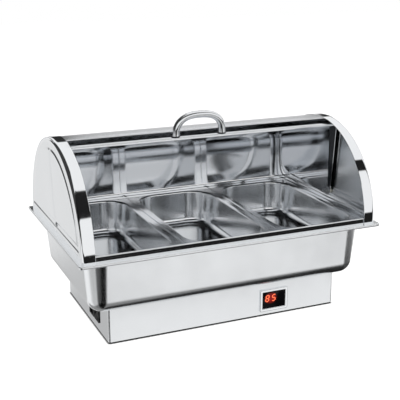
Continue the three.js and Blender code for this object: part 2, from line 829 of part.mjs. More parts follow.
// A shell of sheet bent to an arc about an axis along X, its angles counted up from the front
function bentSheet(centreY, centreZ, outer, thick, startAngle, endAngle, halfLength) {
  const shape = new THREE.Shape();
  const start = Math.PI - radians(startAngle);
  const end = Math.PI - radians(endAngle);
  shape.absarc(centreY, centreZ, outer, end, start);
  shape.absarc(centreY, centreZ, outer - thick, start, end, true);
  shape.closePath();
  return alongX(shape, -halfLength, halfLength);
}

const upwards = 90;

function makeBackCover() {
  const half = capInner - seatGap;
  const rise = frameTop + seatGap - coverCentre;
  const backAngle = THREE.MathUtils.radToDeg(Math.asin(rise / (backCoverRadius - sheetSteel)));
  const front = upwards - backCoverAngle;
  const hemEnd = front + THREE.MathUtils.radToDeg(coverHem / backCoverRadius);
  const start = Math.PI - radians(front);
  const hem = Math.PI - radians(hemEnd);
  const end = radians(backAngle);
  const shape = new THREE.Shape();
  shape.absarc(0, coverCentre, backCoverRadius, start, end, true);
  shape.absarc(0, coverCentre, backCoverRadius - sheetSteel, end, hem);
  shape.absarc(0, coverCentre, backCoverRadius - 2 * sheetSteel, hem, start);
  shape.closePath();
  return alongX(shape, -half, half);
}

const capRight = makeCap();
addPart('end_cap_left', mirrored(capRight), steelSatin);
addPart('end_cap_right', capRight, steelSatin);
addPart('cover_frame', makeCoverFrame(), steelMirror);
addPart('front_strip', makeFrontStrip(), steelMirror);
addPart('back_cover', makeBackCover(), steelMirror);
addPart('stop_pad_left', mirrored(makeStopPad()), blackRubber);
addPart('stop_pad_right', makeStopPad(), blackRubber);

// Rolling lid: a smaller arc about the pivots, which rolls under the back cover
const lidHalf = capInner - lidSideGap;
const lidShellHalf = lidHalf - sheetSteel;
const lidStart = upwards - lidFrontAngle;
const lidEnd = upwards + lidBackAngle;
const barOuter = lidRadius - sheetSteel;

// A point on a circle about the lid's pivots, its angle counted up from the front
function onLid(radius, angle) {
  return [pivotY - radius * Math.cos(radians(angle)), pivotZ + radius * Math.sin(radians(angle))];
}

// Where a straight edge from a point on the lid's arc meets the round end about the pivot
function tangentAngle(angle, side) {
  return angle - side * THREE.MathUtils.radToDeg(Math.acos(apexRadius / lidRadius));
}

function makeLidSide() {
  const frontTouch = tangentAngle(lidStart, 1);
  const backTouch = tangentAngle(lidEnd, -1);
  const shape = new THREE.Shape();
  shape.absarc(pivotY, pivotZ, lidRadius, Math.PI - radians(lidStart), Math.PI - radians(lidEnd), true);
  shape.absarc(
    pivotY, pivotZ, apexRadius, Math.PI - radians(backTouch), Math.PI - radians(frontTouch), true);
  shape.closePath();
  const plate = alongX(shape, lidShellHalf, lidHalf);
  const pinHole = rod(
    new THREE.Vector3(lidShellHalf - cutOverrun, pivotY, pivotZ),
    new THREE.Vector3(lidHalf + cutOverrun, pivotY, pivotZ), pinRadius + runningGap);
  return cut(join(plate, makeSideHem(frontTouch)), pinHole);
}

// The turned-in hem along the front edge of a side, wider at the top than at the pivot
function makeSideHem(frontTouch) {
  const foot = onLid(apexRadius, frontTouch);
  const head = onLid(lidRadius, lidStart);
  const along = new THREE.Vector3(0, head[0] - foot[0], head[1] - foot[1]);
  const length = along.length() - barDepth - hemHeadDrop;
  along.normalize();
  const inward = new THREE.Vector3(-1, 0, 0);
  const back = new THREE.Vector3().crossVectors(inward, along);
  const start = nutLength * 2;
  const shape = new THREE.Shape();
  shape.moveTo(0, start);
  shape.lineTo(hemFoot, start + hemFoot);
  shape.lineTo(hemHead, length);
  shape.lineTo(0, length);
  shape.closePath();
  const hem = new THREE.ExtrudeGeometry(shape, { depth: sheetSteel, bevelEnabled: false });
  hem.applyMatrix4(new THREE.Matrix4().makeBasis(inward, along, back));
  return hem.translate(lidHalf, foot[0], foot[1]);
}

// The two screws that hold the handle run out through the bar and the shell
function handleFeet() {
  return [handleOffset - handleSpan / 2, handleOffset + handleSpan / 2];
}

function screwLine(x, fromRadius, toRadius, radius) {
  const from = onLid(fromRadius, upwards - handleAngle);
  const to = onLid(toRadius, upwards - handleAngle);
  return rod(new THREE.Vector3(x, ...from), new THREE.Vector3(x, ...to), radius);
}

const barInner = barOuter - seatGap - barDepth;
const footRise = lidRadius + seatGap;

function handleHoles(toRadius) {
  return handleFeet().map((x) => screwLine(
    x, barInner - cutOverrun, toRadius, handleScrewRadius + runningGap));
}

function makeLidShell() {
  const shell = bentSheet(pivotY, pivotZ, lidRadius, sheetSteel, lidStart, lidEnd, lidShellHalf);
  return cut(shell, ...handleHoles(lidRadius + cutOverrun));
}

function makeFrontBar() {
  const bar = bentSheet(
    pivotY, pivotZ, barOuter - seatGap, barDepth, lidStart, lidStart + barAngle, lidShellHalf - seatGap);
  return cut(bar, ...handleHoles(lidRadius + cutOverrun));
}

class ArchCurve extends THREE.Curve {
  // A squared half ellipse standing on the lid, square to its surface
  getPoint(t, target = new THREE.Vector3()) {
    const angle = Math.PI * (1 - t);
    const across = Math.sign(Math.cos(angle)) * Math.abs(Math.cos(angle)) ** handleSquareShare;
    const rise = Math.sin(angle) ** handleSquareShare;
    const [y, z] = onLid(footRise + handleRise * rise, upwards - handleAngle);
    return target.set(handleOffset + handleSpan / 2 * across, y, z);
  }
}

function makeHandle() {
  const loop = tube(new ArchCurve(), handleTube / 2, handleSteps, handleSides);
  return cut(loop, ...handleHoles(footRise + handleScrewBite + seatGap));
}

function makeHandleScrew(x) {
  const headTop = barInner - seatGap;
  return join(
    screwLine(x, headTop - handleScrewHead, headTop, handleScrewHeadRadius),
    screwLine(x, headTop - handleScrewHead / 2, footRise + handleScrewBite, handleScrewRadius));
}

const lidSideRight = makeLidSide();
addPart('lid_shell', makeLidShell(), steelMirror);
addPart('lid_side_left', mirrored(lidSideRight), steelBright);
addPart('lid_side_right', lidSideRight, steelBright);
addPart('lid_front_bar', makeFrontBar(), steelMirror);
addPart('lid_handle', makeHandle(), steelMirror);
handleFeet().forEach((x, index) => addPart(`handle_screw_${index + 1}`, makeHandleScrew(x), zincPlate));

// Lid pivots: a pin through each cap, a washer against the lid's side and a nut inside
function makePin() {
  const tip = lidShellHalf - 2 * seatGap - nutLength;
  const head = rod(
    new THREE.Vector3(coverWidth / 2, pivotY, pivotZ),
    new THREE.Vector3(coverWidth / 2 + pinHead, pivotY, pivotZ), pinHeadRadius);
  const shank = rod(
    new THREE.Vector3(tip, pivotY, pivotZ),
    new THREE.Vector3(coverWidth / 2 + pinHead / 2, pivotY, pivotZ), pinRadius);
  return join(head, shank);
}

function ringAt(x0, x1, outer, bore, sides) {
  const onAxis = (x) => new THREE.Vector3(x, pivotY, pivotZ);
  const disc = rod(onAxis(x0), onAxis(x1), outer, sides);
  return cut(disc, rod(onAxis(x0 - cutOverrun), onAxis(x1 + cutOverrun), bore));
}

const pinRight = makePin();
const washerRight = ringAt(lidHalf + seatGap, capInner, washerRadius, pinRadius + runningGap, roundSides);
const nutStart = lidShellHalf - seatGap - nutLength;
const nutRight = ringAt(nutStart, nutStart + nutLength, nutRadius, pinRadius + runningGap, nutSides);
addPart('pivot_pin_left', mirrored(pinRight), zincPlate);
addPart('pivot_pin_right', pinRight, zincPlate);
addPart('pivot_washer_left', mirrored(washerRight), paleNylon);
addPart('pivot_washer_right', washerRight, paleNylon);
addPart('pivot_nut_left', mirrored(nutRight), zincPlate);
addPart('pivot_nut_right', nutRight, zincPlate);

export default dish;
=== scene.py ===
# %% [markdown]
# # A roll top chafing dish in stainless steel
# The dish is an assembly of sheet metal pieces: a heater base, a deep drawn water pan, three insert pans and
# a domed cover whose curved lid rolls back on two pivots. The CAD model is the fixed frame, and this file
# gives it its looks. Polished steel shows its surroundings, so smooth meshes and the studio matter as much as
# colour.

# %% Load the frame
import math

import bmesh
import bpy
import numpy as np
from mathutils import Matrix, Vector


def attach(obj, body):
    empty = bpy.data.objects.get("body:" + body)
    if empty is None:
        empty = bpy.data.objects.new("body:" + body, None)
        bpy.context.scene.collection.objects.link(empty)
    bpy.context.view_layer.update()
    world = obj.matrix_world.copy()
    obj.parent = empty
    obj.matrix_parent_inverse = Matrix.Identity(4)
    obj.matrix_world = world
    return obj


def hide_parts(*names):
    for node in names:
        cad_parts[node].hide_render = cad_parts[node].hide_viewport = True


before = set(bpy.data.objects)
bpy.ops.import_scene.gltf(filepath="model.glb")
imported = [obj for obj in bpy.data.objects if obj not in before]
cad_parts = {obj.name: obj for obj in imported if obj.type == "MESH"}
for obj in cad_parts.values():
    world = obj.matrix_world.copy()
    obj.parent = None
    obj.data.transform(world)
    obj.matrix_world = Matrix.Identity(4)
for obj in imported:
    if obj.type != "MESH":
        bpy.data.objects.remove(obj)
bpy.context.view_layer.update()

# %% [markdown]
# ## Sizes
# All sizes are in millimetres, and one factor turns them to metres. They repeat the CAD model's sizes, so
# that each smooth piece lies where its faceted solid lies. x runs to the right, y to the back and z up.

# %% Sizes that most steps need
MM = 0.001
SHEET = 0.8
FLANGE_TOP = 165.1
SUPPORT = 0.3  # a point this far from a rounding holds the flat beside it flat
print("sheet", SHEET, "mm thick, the water pan's flange", FLANGE_TOP, "mm above the table")

# %% [markdown]
# ## Meshes from arrays
# A piece is a grid of points worked out with numpy. Its faces join neighbours in the grid. Closed rings laid
# side by side make a solid, like slices through it.

# %% Faces of a grid
join = np.concatenate  # sections are joined from several arrays


def grid_faces(rows, columns, wrap_rows=False, wrap_columns=False, start=0):
    """Four corners for each cell of a grid; a wrapped direction also joins its last line to its first."""
    r = np.arange(rows if wrap_rows else rows - 1)
    c = np.arange(columns if wrap_columns else columns - 1)
    r, c = np.meshgrid(r, c, indexing="ij")
    r1, c1 = (r + 1) % rows, (c + 1) % columns
    cells = np.stack([r * columns + c, r1 * columns + c, r1 * columns + c1, r * columns + c1], -1)
    return cells.reshape(-1, 4) + start


def lofted(rings):
    """Closed rings joined side by side, with the first and last ring filled: points, faces."""
    rows, columns = rings.shape[:2]
    faces = grid_faces(rows, columns, wrap_columns=True).tolist()
    faces.append(list(range(columns)))
    faces.append(list(range((rows - 1) * columns, rows * columns)))
    return rings.reshape(-1, 3), faces


print("a grid of 3 by 4 points has", len(grid_faces(3, 4)), "faces")

# %% [markdown]
# ## From points to a piece
# Doubles are merged and normals recalculated, because a mirrored grid is inside out. The faces are shaded
# smooth, and only edges sharper than an angle stay crisp. Then the piece is hung on the body that carries it
# and given its finish, and the solids it stands for are hidden.

# %% Pieces
MERGE_WITHIN = 1e-6
FLAT_WITHIN = 1e-7
SHARP_EDGE = 35.0


def new_object(name, data):
    """An object in the scene that shows a mesh, a lamp or a camera."""
    obj = bpy.data.objects.new(name, data)
    bpy.context.scene.collection.objects.link(obj)
    return obj


def piece(name, part, body, material, stands_for):
    """Puts points in millimetres and faces into a mesh object, smooth but for its sharp edges."""
    points, faces = part
    mesh = bpy.data.meshes.new(name)
    mesh.from_pydata((points * MM).tolist(), [], faces)
    work = bmesh.new()
    work.from_mesh(mesh)
    bmesh.ops.remove_doubles(work, verts=work.verts, dist=MERGE_WITHIN)
    bmesh.ops.dissolve_degenerate(work, edges=work.edges, dist=FLAT_WITHIN)
    bmesh.ops.recalc_face_normals(work, faces=work.faces)
    work.to_mesh(mesh)
    work.free()
    mesh.shade_smooth()
    mesh.set_sharp_from_angle(angle=math.radians(SHARP_EDGE))
    obj = new_object(name, mesh)
    mesh.materials.append(material)
    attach(obj, body)
    if stands_for:
        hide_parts(*stands_for)
    print(f"{name}: {len(mesh.vertices)} points, {len(mesh.polygons)} faces")
    return obj


print("edges sharper than", SHARP_EDGE, "degrees stay crisp")

# %% [markdown]
# ## Colours and nodes
# Colours are written as they look on a screen, in hex, and one function turns them to the linear numbers that
# the renderer wants. One more adds a node and fills its inputs, so that a material reads as a short list.

# %% Colour and node helpers


def colour(code):
    """An sRGB hex code as linear red, green, blue and full alpha."""
    values = np.array([int(code[i:i + 2], 16) for i in (1, 3, 5)]) / 255
    linear = np.where(values <= 0.04045, values / 12.92, ((values + 0.055) / 1.055) ** 2.4)
    return (*linear.tolist(), 1.0)


def fill(tree, node, **values):
    """Sets or links inputs, named with a capital or as i and a number; other names are settings."""
    for key, value in values.items():
        numbered = key[0] == "i" and key[1:].isdigit()
        if key.islower() and not numbered:
            setattr(node, key, value)
            continue
        socket = node.inputs[int(key[1:]) if numbered else key.replace("_", " ")]
        if isinstance(value, bpy.types.Node):
            value = value.outputs[0]
        if isinstance(value, bpy.types.NodeSocket):
            tree.links.new(value, socket)
        else:
            socket.default_value = value


def add(tree, kind, **values):
    """A new shader node with its settings and inputs; a node given as a value lends its first output."""
    node = tree.nodes.new("ShaderNode" + kind)
    fill(tree, node, **values)
    return node


def new_material(name):
    """An empty material with its tree, its principled shader and its object coordinates."""
    made = bpy.data.materials.new(name)
    made.use_nodes = True
    tree = made.node_tree
    place = add(tree, "TexCoord").outputs["Object"]
    return made, tree, tree.nodes["Principled BSDF"], place


print("#808080 is", round(colour("#808080")[0], 3), "in linear light")

# %% [markdown]
# ## Stainless steel and other metals
# The dish is 18/8 stainless sheet. Rolled sheet is sanded with a fine belt to a satin finish, or buffed to a
# mirror. Neither is flat: rolling leaves waves some centimetres long that bend reflections, and wiping leaves
# faint marks, about 56 mm across, that change the gloss. The waves are a soft bump and the marks change the
# roughness.

# %% Metal finishes
WIPES_PER_METRE = 18.0
SCRATCHES_PER_METRE = 900.0


def metal(name, code, gloss, wave_height, wave_length, grain=0.0, grain_axis=(1.0, 1.0, 1.0), marks=0.02):
    """A metal with waves and belt scratches of a height in metres, and wiping marks in its roughness."""
    made, tree, shader, place = new_material(name)
    wipes = add(tree, "TexNoise", Vector=place, Scale=WIPES_PER_METRE, Detail=3.0, Roughness=0.6)
    roughness = add(tree, "MapRange", Value=wipes, From_Min=0.3, From_Max=0.7,
                    To_Min=gloss - marks, To_Max=gloss + marks)
    waves = add(tree, "TexNoise", Vector=place, Scale=1.0 / wave_length, Detail=1.0)
    bump = add(tree, "Bump", Height=waves, Strength=1.0, Distance=wave_height)
    if grain:
        lines = add(tree, "Mapping", Vector=place, Scale=grain_axis)
        strands = add(tree, "TexNoise", Vector=lines, Scale=SCRATCHES_PER_METRE, Detail=2.0)
        bump = add(tree, "Bump", Height=strands, Strength=1.0, Distance=grain, Normal=bump)
    fill(tree, shader, Base_Color=colour(code), Metallic=1.0, Roughness=roughness, Normal=bump)
    return made


# The numbers are the gloss, then the height and the length of the waves.
# Buffed with a wheel: reflections are nearly sharp.
MIRROR = metal("stainless_mirror_buffed", "#EAECEE", 0.055, 0.00012, 0.12, marks=0.015)
# Buffed as a large thin sheet: the waves bend what it mirrors.
COVER_MIRROR = metal("stainless_mirror_cover_sheet", "#E3E5E8", 0.075, 0.0002, 0.16)
# Belt sanded: soft reflections.
BACK_SATIN = metal("stainless_satin_back_cover", "#DFE1E4", 0.24, 0.0001, 0.16)
SATIN = metal("stainless_satin_drawn_pan", "#ECEEF0", 0.21, 0.0001, 0.16)
HANDLE_STEEL = metal("stainless_satin_handle_tube", "#E6E8EA", 0.17, 0.00004, 0.05)
# Belt sanded one way: fine lines stretch the light.
FACE = metal("stainless_satin_cap_face", "#E8EAEC", 0.18, 0.0001, 0.1,
             grain=0.000003, grain_axis=(1.0, 1.0, 0.03))
HOUSING = metal("stainless_base_housing", "#E6E8EA", 0.1, 0.00008, 0.2,
                grain=0.000003, grain_axis=(0.03, 1.0, 1.0), marks=0.015)
# Bright rolled or drawn: shiny, with a slight haze.
INSERT = metal("stainless_bright_insert_pan", "#E4E6E8", 0.16, 0.00012, 0.09)
BRIGHT = metal("stainless_bright_drawn_tube", "#C8CACD", 0.22, 0.00005, 0.02)
# Painted shade: the same steel with its colour darkened, so that the folds read dark beside the mirror
# sheets.
FOLD_STEEL_PAINTED_SHADE = metal("stainless_fold_painted_shade", "#3A3C3F", 0.22, 0.00005, 0.02)
# Zinc plate, duller cast aluminium, and warm grey nickel plate.
ZINC = metal("zinc_plated_steel", "#A9ABAD", 0.33, 0.00005, 0.01)
CAST = metal("cast_aluminium", "#9C9EA0", 0.5, 0.0001, 0.004)
NICKEL = metal("brass_nickel_plated_blade", "#B9B6AC", 0.25, 0.00002, 0.004)
print("metals: from", MIRROR.name, "to", NICKEL.name)

# %% [markdown]
# ## Plastics and rubber
# The switch and the inlet are moulded black nylon, with half the shine of the others. A small bump gives each
# moulding its fine texture. Feet, pads and washers are rubber.

# %% Moulded finishes
GLOSS_VARIES = 0.05


def moulded(name, code, gloss, grit, depth, shine=0.5):
    """A moulded plastic or rubber, whose fine texture has a grit size and a depth in metres."""
    made, tree, shader, place = new_material(name)
    texture = add(tree, "TexNoise", Vector=place, Scale=1.0 / grit, Detail=2.0)
    roughness = add(tree, "MapRange", Value=texture, To_Min=gloss - GLOSS_VARIES, To_Max=gloss + GLOSS_VARIES)
    bump = add(tree, "Bump", Height=texture, Strength=1.0, Distance=depth)
    fill(tree, shader, Base_Color=colour(code), Specular_IOR_Level=shine, Roughness=roughness, Normal=bump)
    return made


# The numbers are the gloss, then the size and the depth of the texture.
NYLON_BLACK = moulded("nylon_black_moulded", "#0D0E10", 0.5, 0.0006, 0.00002, shine=0.25)
RUBBER = moulded("rubber_black", "#161616", 0.75, 0.001, 0.00004)
NYLON_PALE = moulded("nylon_natural", "#E4E1D6", 0.45, 0.0008, 0.00002)
BOARD = moulded("fibreglass_board_green", "#1F5A34", 0.4, 0.0009, 0.00001)
print("mouldings: from", NYLON_BLACK.name, "to", BOARD.name)

# %% [markdown]
# ## The display's two materials
# The window is smoked acrylic, nearly black. The lit figures' light spreads inside the plastic, as a red glow
# that fades with the distance from them.

# %% Segments and window
HAZE_PER_METRE = 700.0
GLOW_CENTRE = (0.087, 0.033)
GLOW_REACH = (0.0125, 0.0105)


def lit_segments():
    """Light emitting segments behind red epoxy: bright, with a faint unevenness about 1.4 mm across."""
    made, tree, shader, place = new_material("led_segment_red")
    haze = add(tree, "TexNoise", Vector=place, Scale=HAZE_PER_METRE, Detail=1.0)
    power = add(tree, "MapRange", Value=haze, To_Min=0.85, To_Max=1.1)
    fill(tree, shader, Base_Color=colour("#FF5A30"), Emission_Color=colour("#FB7850"),
         Emission_Strength=power, Roughness=0.4)
    return made


def smoked_window():
    """Smoked acrylic whose glow falls with (x / reach)^2 + (z / reach)^2, measured from its centre."""
    made, tree, shader, place = new_material("acrylic_smoked")
    split = add(tree, "SeparateXYZ", Vector=place)
    squares = []
    for axis, centre, reach in zip("XZ", GLOW_CENTRE, GLOW_REACH):
        away = add(tree, "Math", operation="SUBTRACT", i0=split.outputs[axis], i1=centre)
        share = add(tree, "Math", operation="DIVIDE", i0=away, i1=reach)
        squares.append(add(tree, "Math", operation="POWER", i0=share, i1=2.0))
    total = add(tree, "Math", operation="ADD", i0=squares[0], i1=squares[1])
    glow = add(tree, "MapRange", interpolation_type="SMOOTHSTEP", Value=total,
               From_Min=0.0, From_Max=1.3, To_Min=0.65, To_Max=0.0)
    fill(tree, shader, Base_Color=colour("#0C0B0D"), Roughness=0.12, Specular_IOR_Level=0.16,
         Emission_Color=colour("#A8160C"), Emission_Strength=glow)
    return made


SEGMENTS = lit_segments()
WINDOW = smoked_window()
print("display:", SEGMENTS.name, WINDOW.name)

# %% [markdown]
# ## Rounded rectangles
# Most pieces are a rounded rectangle that grows, shrinks or moves from ring to ring. Where a straight side is
# long and smooth shaded, its normals would bend towards the corners, so two more points hold it flat.

# %% Rings of rounded rectangles


def rounded_rings(half_x, half_y, radius, height, steps=14):
    """Rings of four quarter circles, each centred one radius in from a corner; straight lines join them."""
    half_x, half_y, radius, height = np.broadcast_arrays(
        *[np.asarray(v, float) for v in (half_x, half_y, radius, height)])
    quarter = np.linspace(0, 90, steps + 1)[None, :]
    turn = np.radians((quarter + 90 * np.arange(4)[:, None] - 90).ravel())
    side_x = np.repeat([1, 1, -1, -1], steps + 1)
    side_y = np.repeat([-1, 1, 1, -1], steps + 1)
    x = side_x * (half_x - radius)[:, None] + radius[:, None] * np.cos(turn)
    y = side_y * (half_y - radius)[:, None] + radius[:, None] * np.sin(turn)
    corners = np.stack([x, y], -1).reshape(len(x), 4, steps + 1, 2)
    last = corners[:, :, -1:]
    side = np.roll(corners, -1, axis=1)[:, :, :1] - last
    length = np.linalg.norm(side, axis=-1, keepdims=True)
    near = np.minimum(SUPPORT / np.maximum(length, 0.01), 0.1)
    held = join([corners, last + side * near, last + side * (1 - near)], axis=2)
    held = held.reshape(len(x), -1, 2)
    return join([held, np.broadcast_to(height[:, None, None], (*held.shape[:2], 1))], -1)


def arc(start, end, steps):
    """Angles in radians from start to end degrees."""
    return np.radians(np.linspace(start, end, steps))


print("a ring has", rounded_rings([10], [10], [2], [0]).shape[1], "points")

# %% [markdown]
# ## Drawn pans
# A pan is pressed from one sheet in a die, so every corner is a curve: the floor turns up through a fillet,
# the wall leans outwards so that it leaves the die, and the rim turns over into a flange with a lip. The
# surface is one profile, carried round a rounded rectangle that grows with the profile's distance from the
# wall.

# %% Water pan and insert pans
DRAWN_IN = 0.4
INSERT_PITCH = 176.6


def drawn_pan(well, corner, flange, flange_corner, top, floor, taper, fillet, edge, lip, lean, roll, wall,
              steps=14):
    """Inner floor, fillet, wall, flange, lip and back again outside, as offsets from the well or the rim."""
    rise, bend = arc(0, 90, 12), arc(0, 90, 6)
    near = np.array([0.012, 0.988])
    tall, foot, tip = top - edge - floor - fillet, -taper - fillet, top - lip
    inner_o = join([[foot - DRAWN_IN], foot + fillet * np.sin(rise), taper * (near - 1),
                    edge - edge * np.cos(bend), [edge + SUPPORT]])
    inner_z = join([[floor], floor + fillet - fillet * np.cos(rise), floor + fillet + tall * near,
                    top - edge + edge * np.sin(bend), [top]])
    rim_i = join([[roll + DRAWN_IN], roll - roll * np.sin(bend),
                  [lean, lean + wall / 2, lean + wall, wall, roll, roll + DRAWN_IN]])
    rim_z = join([[top], top - roll + roll * np.cos(bend),
                  [tip + wall / 3, tip, tip + wall / 3, top - roll, top - wall, top - wall]])
    fall, dive = arc(90, 0, 6), arc(90, 0, 12)
    outer_o = join([[edge + SUPPORT], edge - (edge - wall) * np.cos(fall), wall - taper * near,
                    foot + (fillet + wall) * np.sin(dive), [foot - DRAWN_IN]])
    outer_z = join([[top - wall], top - edge + (edge - wall) * np.sin(fall),
                    top - edge - tall * near, floor + fillet - (fillet + wall) * np.cos(dive),
                    [floor - wall]])

    def from_well(o, z):
        return rounded_rings(well[0] + o, well[1] + o, np.maximum(corner + o, 1.0), z, steps)

    rim_corner = np.maximum(flange_corner - rim_i, 0.6)
    rim = rounded_rings(flange[0] - rim_i, flange[1] - rim_i, rim_corner, rim_z, steps)
    return lofted(join([from_well(inner_o, inner_z), rim, from_well(outer_o, outer_z)]))


WATER = drawn_pan(well=(258, 151), corner=34, flange=(277, 176.5), flange_corner=5, top=FLANGE_TOP,
                  floor=63.5, taper=7, fillet=24, edge=3, lip=5.2, lean=0.9, roll=1.3, wall=1.0, steps=18)
piece("drawn_water_pan", WATER, "water_pan_body", SATIN, ["water_pan"])
points, faces = drawn_pan(well=(74, 148), corner=44, flange=(88, 162.5), flange_corner=9, top=166.7,
                          floor=101.7, taper=5, fillet=14, edge=3, lip=1.6, lean=0.1, roll=1.2, wall=0.9)
for side, shift in (("left", -INSERT_PITCH), ("centre", 0.0), ("right", INSERT_PITCH)):
    piece(f"drawn_insert_pan_{side}", (points + np.array([shift, 0, 0]), faces), f"{side}_insert", INSERT,
          [f"insert_pan_{side}"])

# %% [markdown]
# ## The frame round the insert pans
# The cover stands on a folded frame that drops round the pans' flanges. Its bent upper edges are the thin
# bright lines along the front. It is a small rounded section carried round a rectangle, and its ends meet.
# The rail along the front is the same section, higher and leaning back a little.

# %% Cover frame and front rail
FRAME_TOP = 172.4
FRONT_RAIL_TOP = 175.3


def looped(rings):
    """Closed rings whose last joins the first, as in a frame: points, faces."""
    rows, columns = rings.shape[:2]
    return rings.reshape(-1, 3), grid_faces(rows, columns, True, True).tolist()


def frame_loop(half_x, half_y, foot, top, wide, roll):
    """A rectangular section with two rounded upper edges, as insets from the outside and heights."""
    bend = arc(0, 90, 7)
    inset = join([[0.0, 0.0], roll - roll * np.cos(bend), wide - roll + roll * np.sin(bend), [wide, wide]])
    height = join([[foot, top - roll - SUPPORT], top - roll + roll * np.sin(bend),
                   top - roll + roll * np.cos(bend), [top - roll - SUPPORT, foot]])
    return looped(rounded_rings(half_x - inset, half_y - inset, np.maximum(2.0 - inset, 0.4), height, 6))


def bar_along_x(half, y, z, centre_y, centre_z, share):
    """A section at six places along x, whose two ends are drawn in to a share of its size."""
    x = half - np.array([0.0, 0.5, 0.9])
    x = join([-x, x[::-1]])[:, None]
    size = np.array([share, 1.0, 1.0, 1.0, 1.0, share])[:, None]
    return lofted(np.stack([np.broadcast_to(x, (6, len(y))), centre_y + (y - centre_y) * size,
                            centre_z + (z - centre_z) * size], -1))


def front_rail(half_x, front, foot, top, wide, roll, lean):
    """The same section, whose front leans back by a distance."""
    bend = arc(0, 90, 7)
    back = join([[0.0, 0.03 * lean, 0.97 * lean], lean + roll - roll * np.cos(bend),
                 wide - roll + roll * np.sin(bend), [wide, wide]])
    tall = top - roll - foot
    height = join([[foot, foot + 0.03 * tall, foot + 0.97 * tall], top - roll + roll * np.sin(bend),
                   top - roll + roll * np.cos(bend), [top - roll - SUPPORT, foot]])
    return bar_along_x(half_x, front + back, height, front + wide / 2, (foot + top) / 2, 0.9)


LOOP = frame_loop(half_x=268.6, half_y=166.0, foot=FLANGE_TOP, top=FRAME_TOP, wide=3.0, roll=1.2)
piece("folded_cover_frame", LOOP, "cover", MIRROR, ["cover_frame"])
RAIL = front_rail(half_x=268.5, front=-167.0, foot=FLANGE_TOP + 0.1, top=FRONT_RAIL_TOP, wide=3.8, roll=1.5,
                  lean=0.75)
piece("folded_front_rail", RAIL, "cover", MIRROR, ["cover_frame", "front_strip"])

# %% [markdown]
# ## The bands of the end caps
# Each cap is a half round plate whose rim is a buffed band, turned in over the pans. Where the plate turns
# into the band the metal rolls through a small radius, and that roll shows as a dark line. The band's section
# is turned about the cover's axis. Both caps share one surface, mirrored for the left.

# %% Bands
COVER_CENTRE = 163.0
COVER_RADIUS = 168.5
CAP_OUTER = 270.0
CAP_INNER = CAP_OUTER - SHEET
BAND_INNER = 248.0
RIM_ROLL = 6.0
FACE_RADIUS = 160.0


def pair(name, part, body, material, solid):
    """The same piece on both sides, with x turned to minus x on the left."""
    points, faces = part
    for side, flip in (("left", -1.0), ("right", 1.0)):
        flipped = points * np.array([flip, 1.0, 1.0])
        piece(f"{name}_{side}", (flipped, faces), body, material, [f"{solid}_{side}"])


def cap_rim():
    """The band's section, in x and radius, turned about the cover's axis from foot to foot."""
    bend = arc(90, 0, 9)
    tight = RIM_ROLL - SHEET
    x = join([[BAND_INNER, BAND_INNER + 0.5, BAND_INNER + 0.9, CAP_OUTER - RIM_ROLL - SUPPORT],
              CAP_OUTER - RIM_ROLL + RIM_ROLL * np.cos(bend),
              [CAP_OUTER, CAP_OUTER, CAP_INNER, CAP_INNER],
              CAP_INNER - tight + tight * np.cos(bend[::-1]),
              [CAP_INNER - tight - SUPPORT, BAND_INNER + 0.9, BAND_INNER + 0.5, BAND_INNER]])
    foot, under = COVER_RADIUS - RIM_ROLL, COVER_RADIUS - SHEET
    r = join([[COVER_RADIUS - 0.4, COVER_RADIUS, COVER_RADIUS, COVER_RADIUS],
              foot + RIM_ROLL * np.sin(bend),
              [foot - SUPPORT, FACE_RADIUS, FACE_RADIUS, foot - SUPPORT],
              foot + tight * np.sin(bend[::-1]),
              [under, under, under, COVER_RADIUS - 0.6]])
    start = np.arcsin((FLANGE_TOP - COVER_CENTRE) / r)
    turn = start + np.linspace(0, 1, 121)[:, None] * (math.pi - 2 * start)
    return lofted(np.stack([np.broadcast_to(x, turn.shape), -r * np.cos(turn),
                            COVER_CENTRE + r * np.sin(turn)], -1))


pair("buffed_band", cap_rim(), "cover", MIRROR, "end_cap")

# %% [markdown]
# ## The faces of the end caps
# The plate is stiffened with pressed ribs: a raised panel that follows the outline, a crease down to the
# pivot and a bar along its foot. A press rounds every edge of a rib, so each rib is a smooth step in the
# distance from an outline, and the steps are added up to one outward height.

# %% Faces
PIVOT_Y = -15.0
PIVOT_Z = 185.1
PANEL_RIM, PANEL_FOOT, PANEL_UP = (17, 21), (24, 28), 1.5
BAR_START, BAR_STOP, BAR_RIM, BAR_UP = (7, 10), (15, 18), (14, 18), 1.4
CREASE_HALF, CREASE_LEAN, CREASE_DEEP = 6.0, 0.16, 0.9
BEHIND_CREASE, BEHIND_REACH = 0.9, 90.0


def sheet(outer, inner, wrap=False):
    """Two grids a sheet's thickness apart, closed by strips along their free edges: points, faces."""
    rows, columns = outer.shape[:2]
    count = rows * columns
    index = np.arange(count).reshape(rows, columns)
    if wrap:
        edges = [index[0], index[-1]]
    else:
        edges = [join([index[0], index[1:, -1], index[-1, -2::-1], index[-2:0:-1, 0]])]
    faces = [grid_faces(rows, columns, wrap_columns=wrap, start=start) for start in (0, count)]
    for edge in edges:
        ahead = np.roll(edge, -1)
        faces.append(np.stack([edge, ahead, ahead + count, edge + count], -1))
    points = join([outer.reshape(-1, 3), inner.reshape(-1, 3)])
    return points, join(faces).tolist()


def rise_between(value, low, high):
    """Smooth step from 0 at low to 1 at high."""
    t = np.clip((value - low) / (high - low), 0, 1)
    return t * t * (3 - 2 * t)


